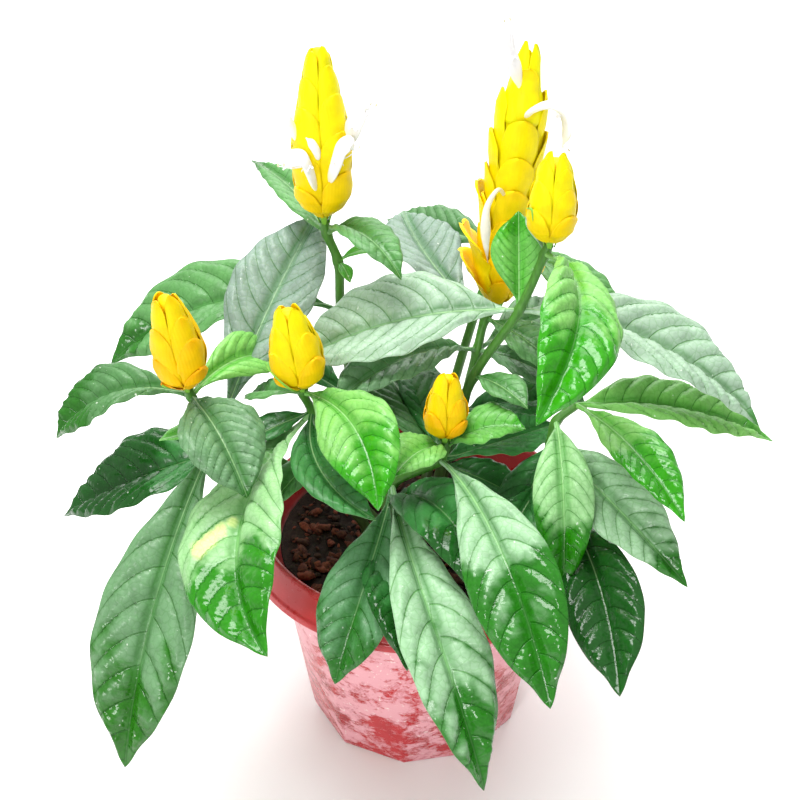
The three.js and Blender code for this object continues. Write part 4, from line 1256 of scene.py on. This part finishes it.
def make_flower(settings, name, line, materials):
    """A white tube that opens into a hooded upper lip, a lower lip in three lobes and two stamens."""
    growth = Growth()
    white = np.array(settings.white)
    wilted = name == "flower_wilted"
    open_wide = len(line) > 4 and not wilted
    path = smooth_path(line, 0.7)
    u = np.linspace(0, 1, len(path))
    point = 0.25 + 0.75 * ease(0, 0.14, 1 - u)
    if wilted:
        faded = np.array(settings.faded)
        lip = ease(0.38, 0.68, u) * ease(-0.03, 0.34, 1 - u)
        cream = blend(faded, white, 0.7 * ease(0.3, 0.55, u)[:, None])
        tones = blend(cream, faded * (0.7, 0.5, 0.3), ease(0.84, 1, u)[:, None])
        crumple = 0.85 + 0.1 * np.sin(19 * u)
    else:
        lip = ease(0.12, 0.5, u) * np.sqrt(ease(-0.02, 0.2, 1 - u))
        tones = blend(np.array(settings.throat), white, ease(0.2, 0.6, u)[:, None])
        crumple = 1
    hood = HOOD.get(name, HOOD["open" if open_wide else "closed"])
    widths = (1 + hood * lip) * point * crumple
    thicknesses = (0.9 + 0.8 * lip) * point
    growth.loft(rings_along(path, thicknesses, widths, 24, (0.2, -0.6, 0.8)), tones)
    if open_wide:
        mouth = int(0.62 * len(path))
        ahead = unit(path[mouth + 1] - path[mouth - 1])
        outward = np.array([0.1, -1, -0.25])
        out = unit(outward - ahead * (outward @ ahead))
        side = np.cross(ahead, out)
        add_lobes(growth, path[mouth], ahead, out, side, white)
        add_stamens(growth, path[mouth], path[-1], ahead, out, side, white, np.array(settings.anther))
    return growth.piece("bloom_" + name.removeprefix("flower_"), materials, "corolla", [name])


# Stage

def aim(thing, direction):
    """Turns a lamp or a camera to look along the direction."""
    thing.rotation_mode = "QUATERNION"
    thing.rotation_quaternion = direction.to_track_quat("-Z", "Y")


def make_stage(settings):
    """Plain floor, soft light and the camera at the photograph's angle."""
    scene = bpy.context.scene
    half = STAGE["floor_half"] / MM
    corners = [(-half, -half, 0), (half, -half, 0), (half, half, 0), (-half, half, 0)]
    floor = mesh_object("floor", corners, [(0, 1, 2, 3)])
    floor.data.materials.append(matt_board(settings))
    floor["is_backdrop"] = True

    world = bpy.data.worlds.new("even_sky")
    scene.world = world
    world.use_nodes = True
    background = world.node_tree.nodes["Background"]
    background.inputs["Color"].default_value = (1.0, 1.0, 1.0, 1.0)
    background.inputs["Strength"].default_value = settings.sky

    target = Vector(STAGE["target"]) * MM
    for name, (place, width, power) in LAMPS.items():
        data = bpy.data.lights.new(name, "AREA")
        data.shape = "DISK"
        data.size = width
        data.energy = power
        lamp = bpy.data.objects.new(name, data)
        lamp.location = place
        aim(lamp, target - Vector(place))
        scene.collection.objects.link(lamp)

    data = bpy.data.cameras.new("camera")
    data.lens = settings.lens
    data.sensor_width = STAGE["sensor"]
    camera = bpy.data.objects.new("camera", data)
    ahead = Vector((0, math.cos(settings.pitch), -math.sin(settings.pitch)))
    camera.location = target - ahead * settings.distance
    aim(camera, ahead)
    scene.collection.objects.link(camera)
    scene.camera = camera
    scene.view_settings.view_transform = "Standard"


# Operators

class SHRIMP_OT_pot(bpy.types.Operator):
    """Add the moulded pot with its drain holes"""

    bl_idname = "shrimp.add_pot"
    bl_label = "Add pot"

    def execute(self, context):
        drill(make_pot(context.scene.shrimp_pot))
        return {"FINISHED"}


class SHRIMP_OT_soil(bpy.types.Operator):
    """Add the soil with its bark chips"""

    bl_idname = "shrimp.add_soil"
    bl_label = "Add soil"

    def execute(self, context):
        make_soil(context.scene.shrimp_soil)
        return {"FINISHED"}


class SHRIMP_OT_shoots(bpy.types.Operator):
    """Add the leafy stems"""

    bl_idname = "shrimp.add_shoots"
    bl_label = "Add leafy stems"

    def execute(self, context):
        settings = context.scene.shrimp_leaf
        materials = [waxed_leaf(settings, True), waxed_leaf(settings, False), green_stem()]
        for index, name in enumerate(STEMS):
            make_shoot(settings, name, 100 + index, materials)
        return {"FINISHED"}


class SHRIMP_OT_heads(bpy.types.Operator):
    """Add the yellow bract spikes"""

    bl_idname = "shrimp.add_heads"
    bl_label = "Add bract spikes"

    def execute(self, context):
        settings = context.scene.shrimp_bract
        materials = [waxy_bract(settings)]
        for index, name in enumerate(HEADS):
            make_head(settings, name, 200 + index, materials)
        return {"FINISHED"}


class SHRIMP_OT_flowers(bpy.types.Operator):
    """Add the white flowers"""

    bl_idname = "shrimp.add_flowers"
    bl_label = "Add flowers"

    def execute(self, context):
        materials = [soft_petal()]
        for name, line in FLOWERS.items():
            make_flower(context.scene.shrimp_flower, name, line, materials)
        return {"FINISHED"}


class SHRIMP_OT_stage(bpy.types.Operator):
    """Add the floor, the light and the camera"""

    bl_idname = "shrimp.add_stage"
    bl_label = "Add stage"

    def execute(self, context):
        make_stage(context.scene.shrimp_stage)
        return {"FINISHED"}


OPERATORS = (
    SHRIMP_OT_stage,
    SHRIMP_OT_pot,
    SHRIMP_OT_soil,
    SHRIMP_OT_shoots,
    SHRIMP_OT_heads,
    SHRIMP_OT_flowers,
)


class SHRIMP_PT_panel(bpy.types.Panel):
    """Sizes and colours of the plant, with a button for each group of pieces"""

    bl_label = "Shrimp plant"
    bl_idname = "SHRIMP_PT_panel"
    bl_space_type = "VIEW_3D"
    bl_region_type = "UI"
    bl_category = "Shrimp plant"

    def draw(self, context):
        for key, group in SETTINGS.items():
            box = self.layout.box()
            box.label(text=group.__doc__)
            for field in group.__annotations__:
                box.prop(getattr(context.scene, key), field)
        for operator in OPERATORS:
            self.layout.operator(operator.bl_idname)


def register():
    for group in (*SETTINGS.values(), *OPERATORS, SHRIMP_PT_panel):
        bpy.utils.register_class(group)
    for key, group in SETTINGS.items():
        setattr(bpy.types.Scene, key, PointerProperty(type=group))


def unregister():
    for key in SETTINGS:
        delattr(bpy.types.Scene, key)
    for group in (SHRIMP_PT_panel, *reversed(OPERATORS), *reversed(SETTINGS.values())):
        bpy.utils.unregister_class(group)


def main():
    register()
    for operator in OPERATORS:
        group, action = operator.bl_idname.split(".")
        getattr(getattr(bpy.ops, group), action)()
    boxes = {"cad": CAD_BOX, "visual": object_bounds()}
    {key: [list(corner) for corner in box] for key, box in boxes.items()}


if __name__ == "__main__":
    main()
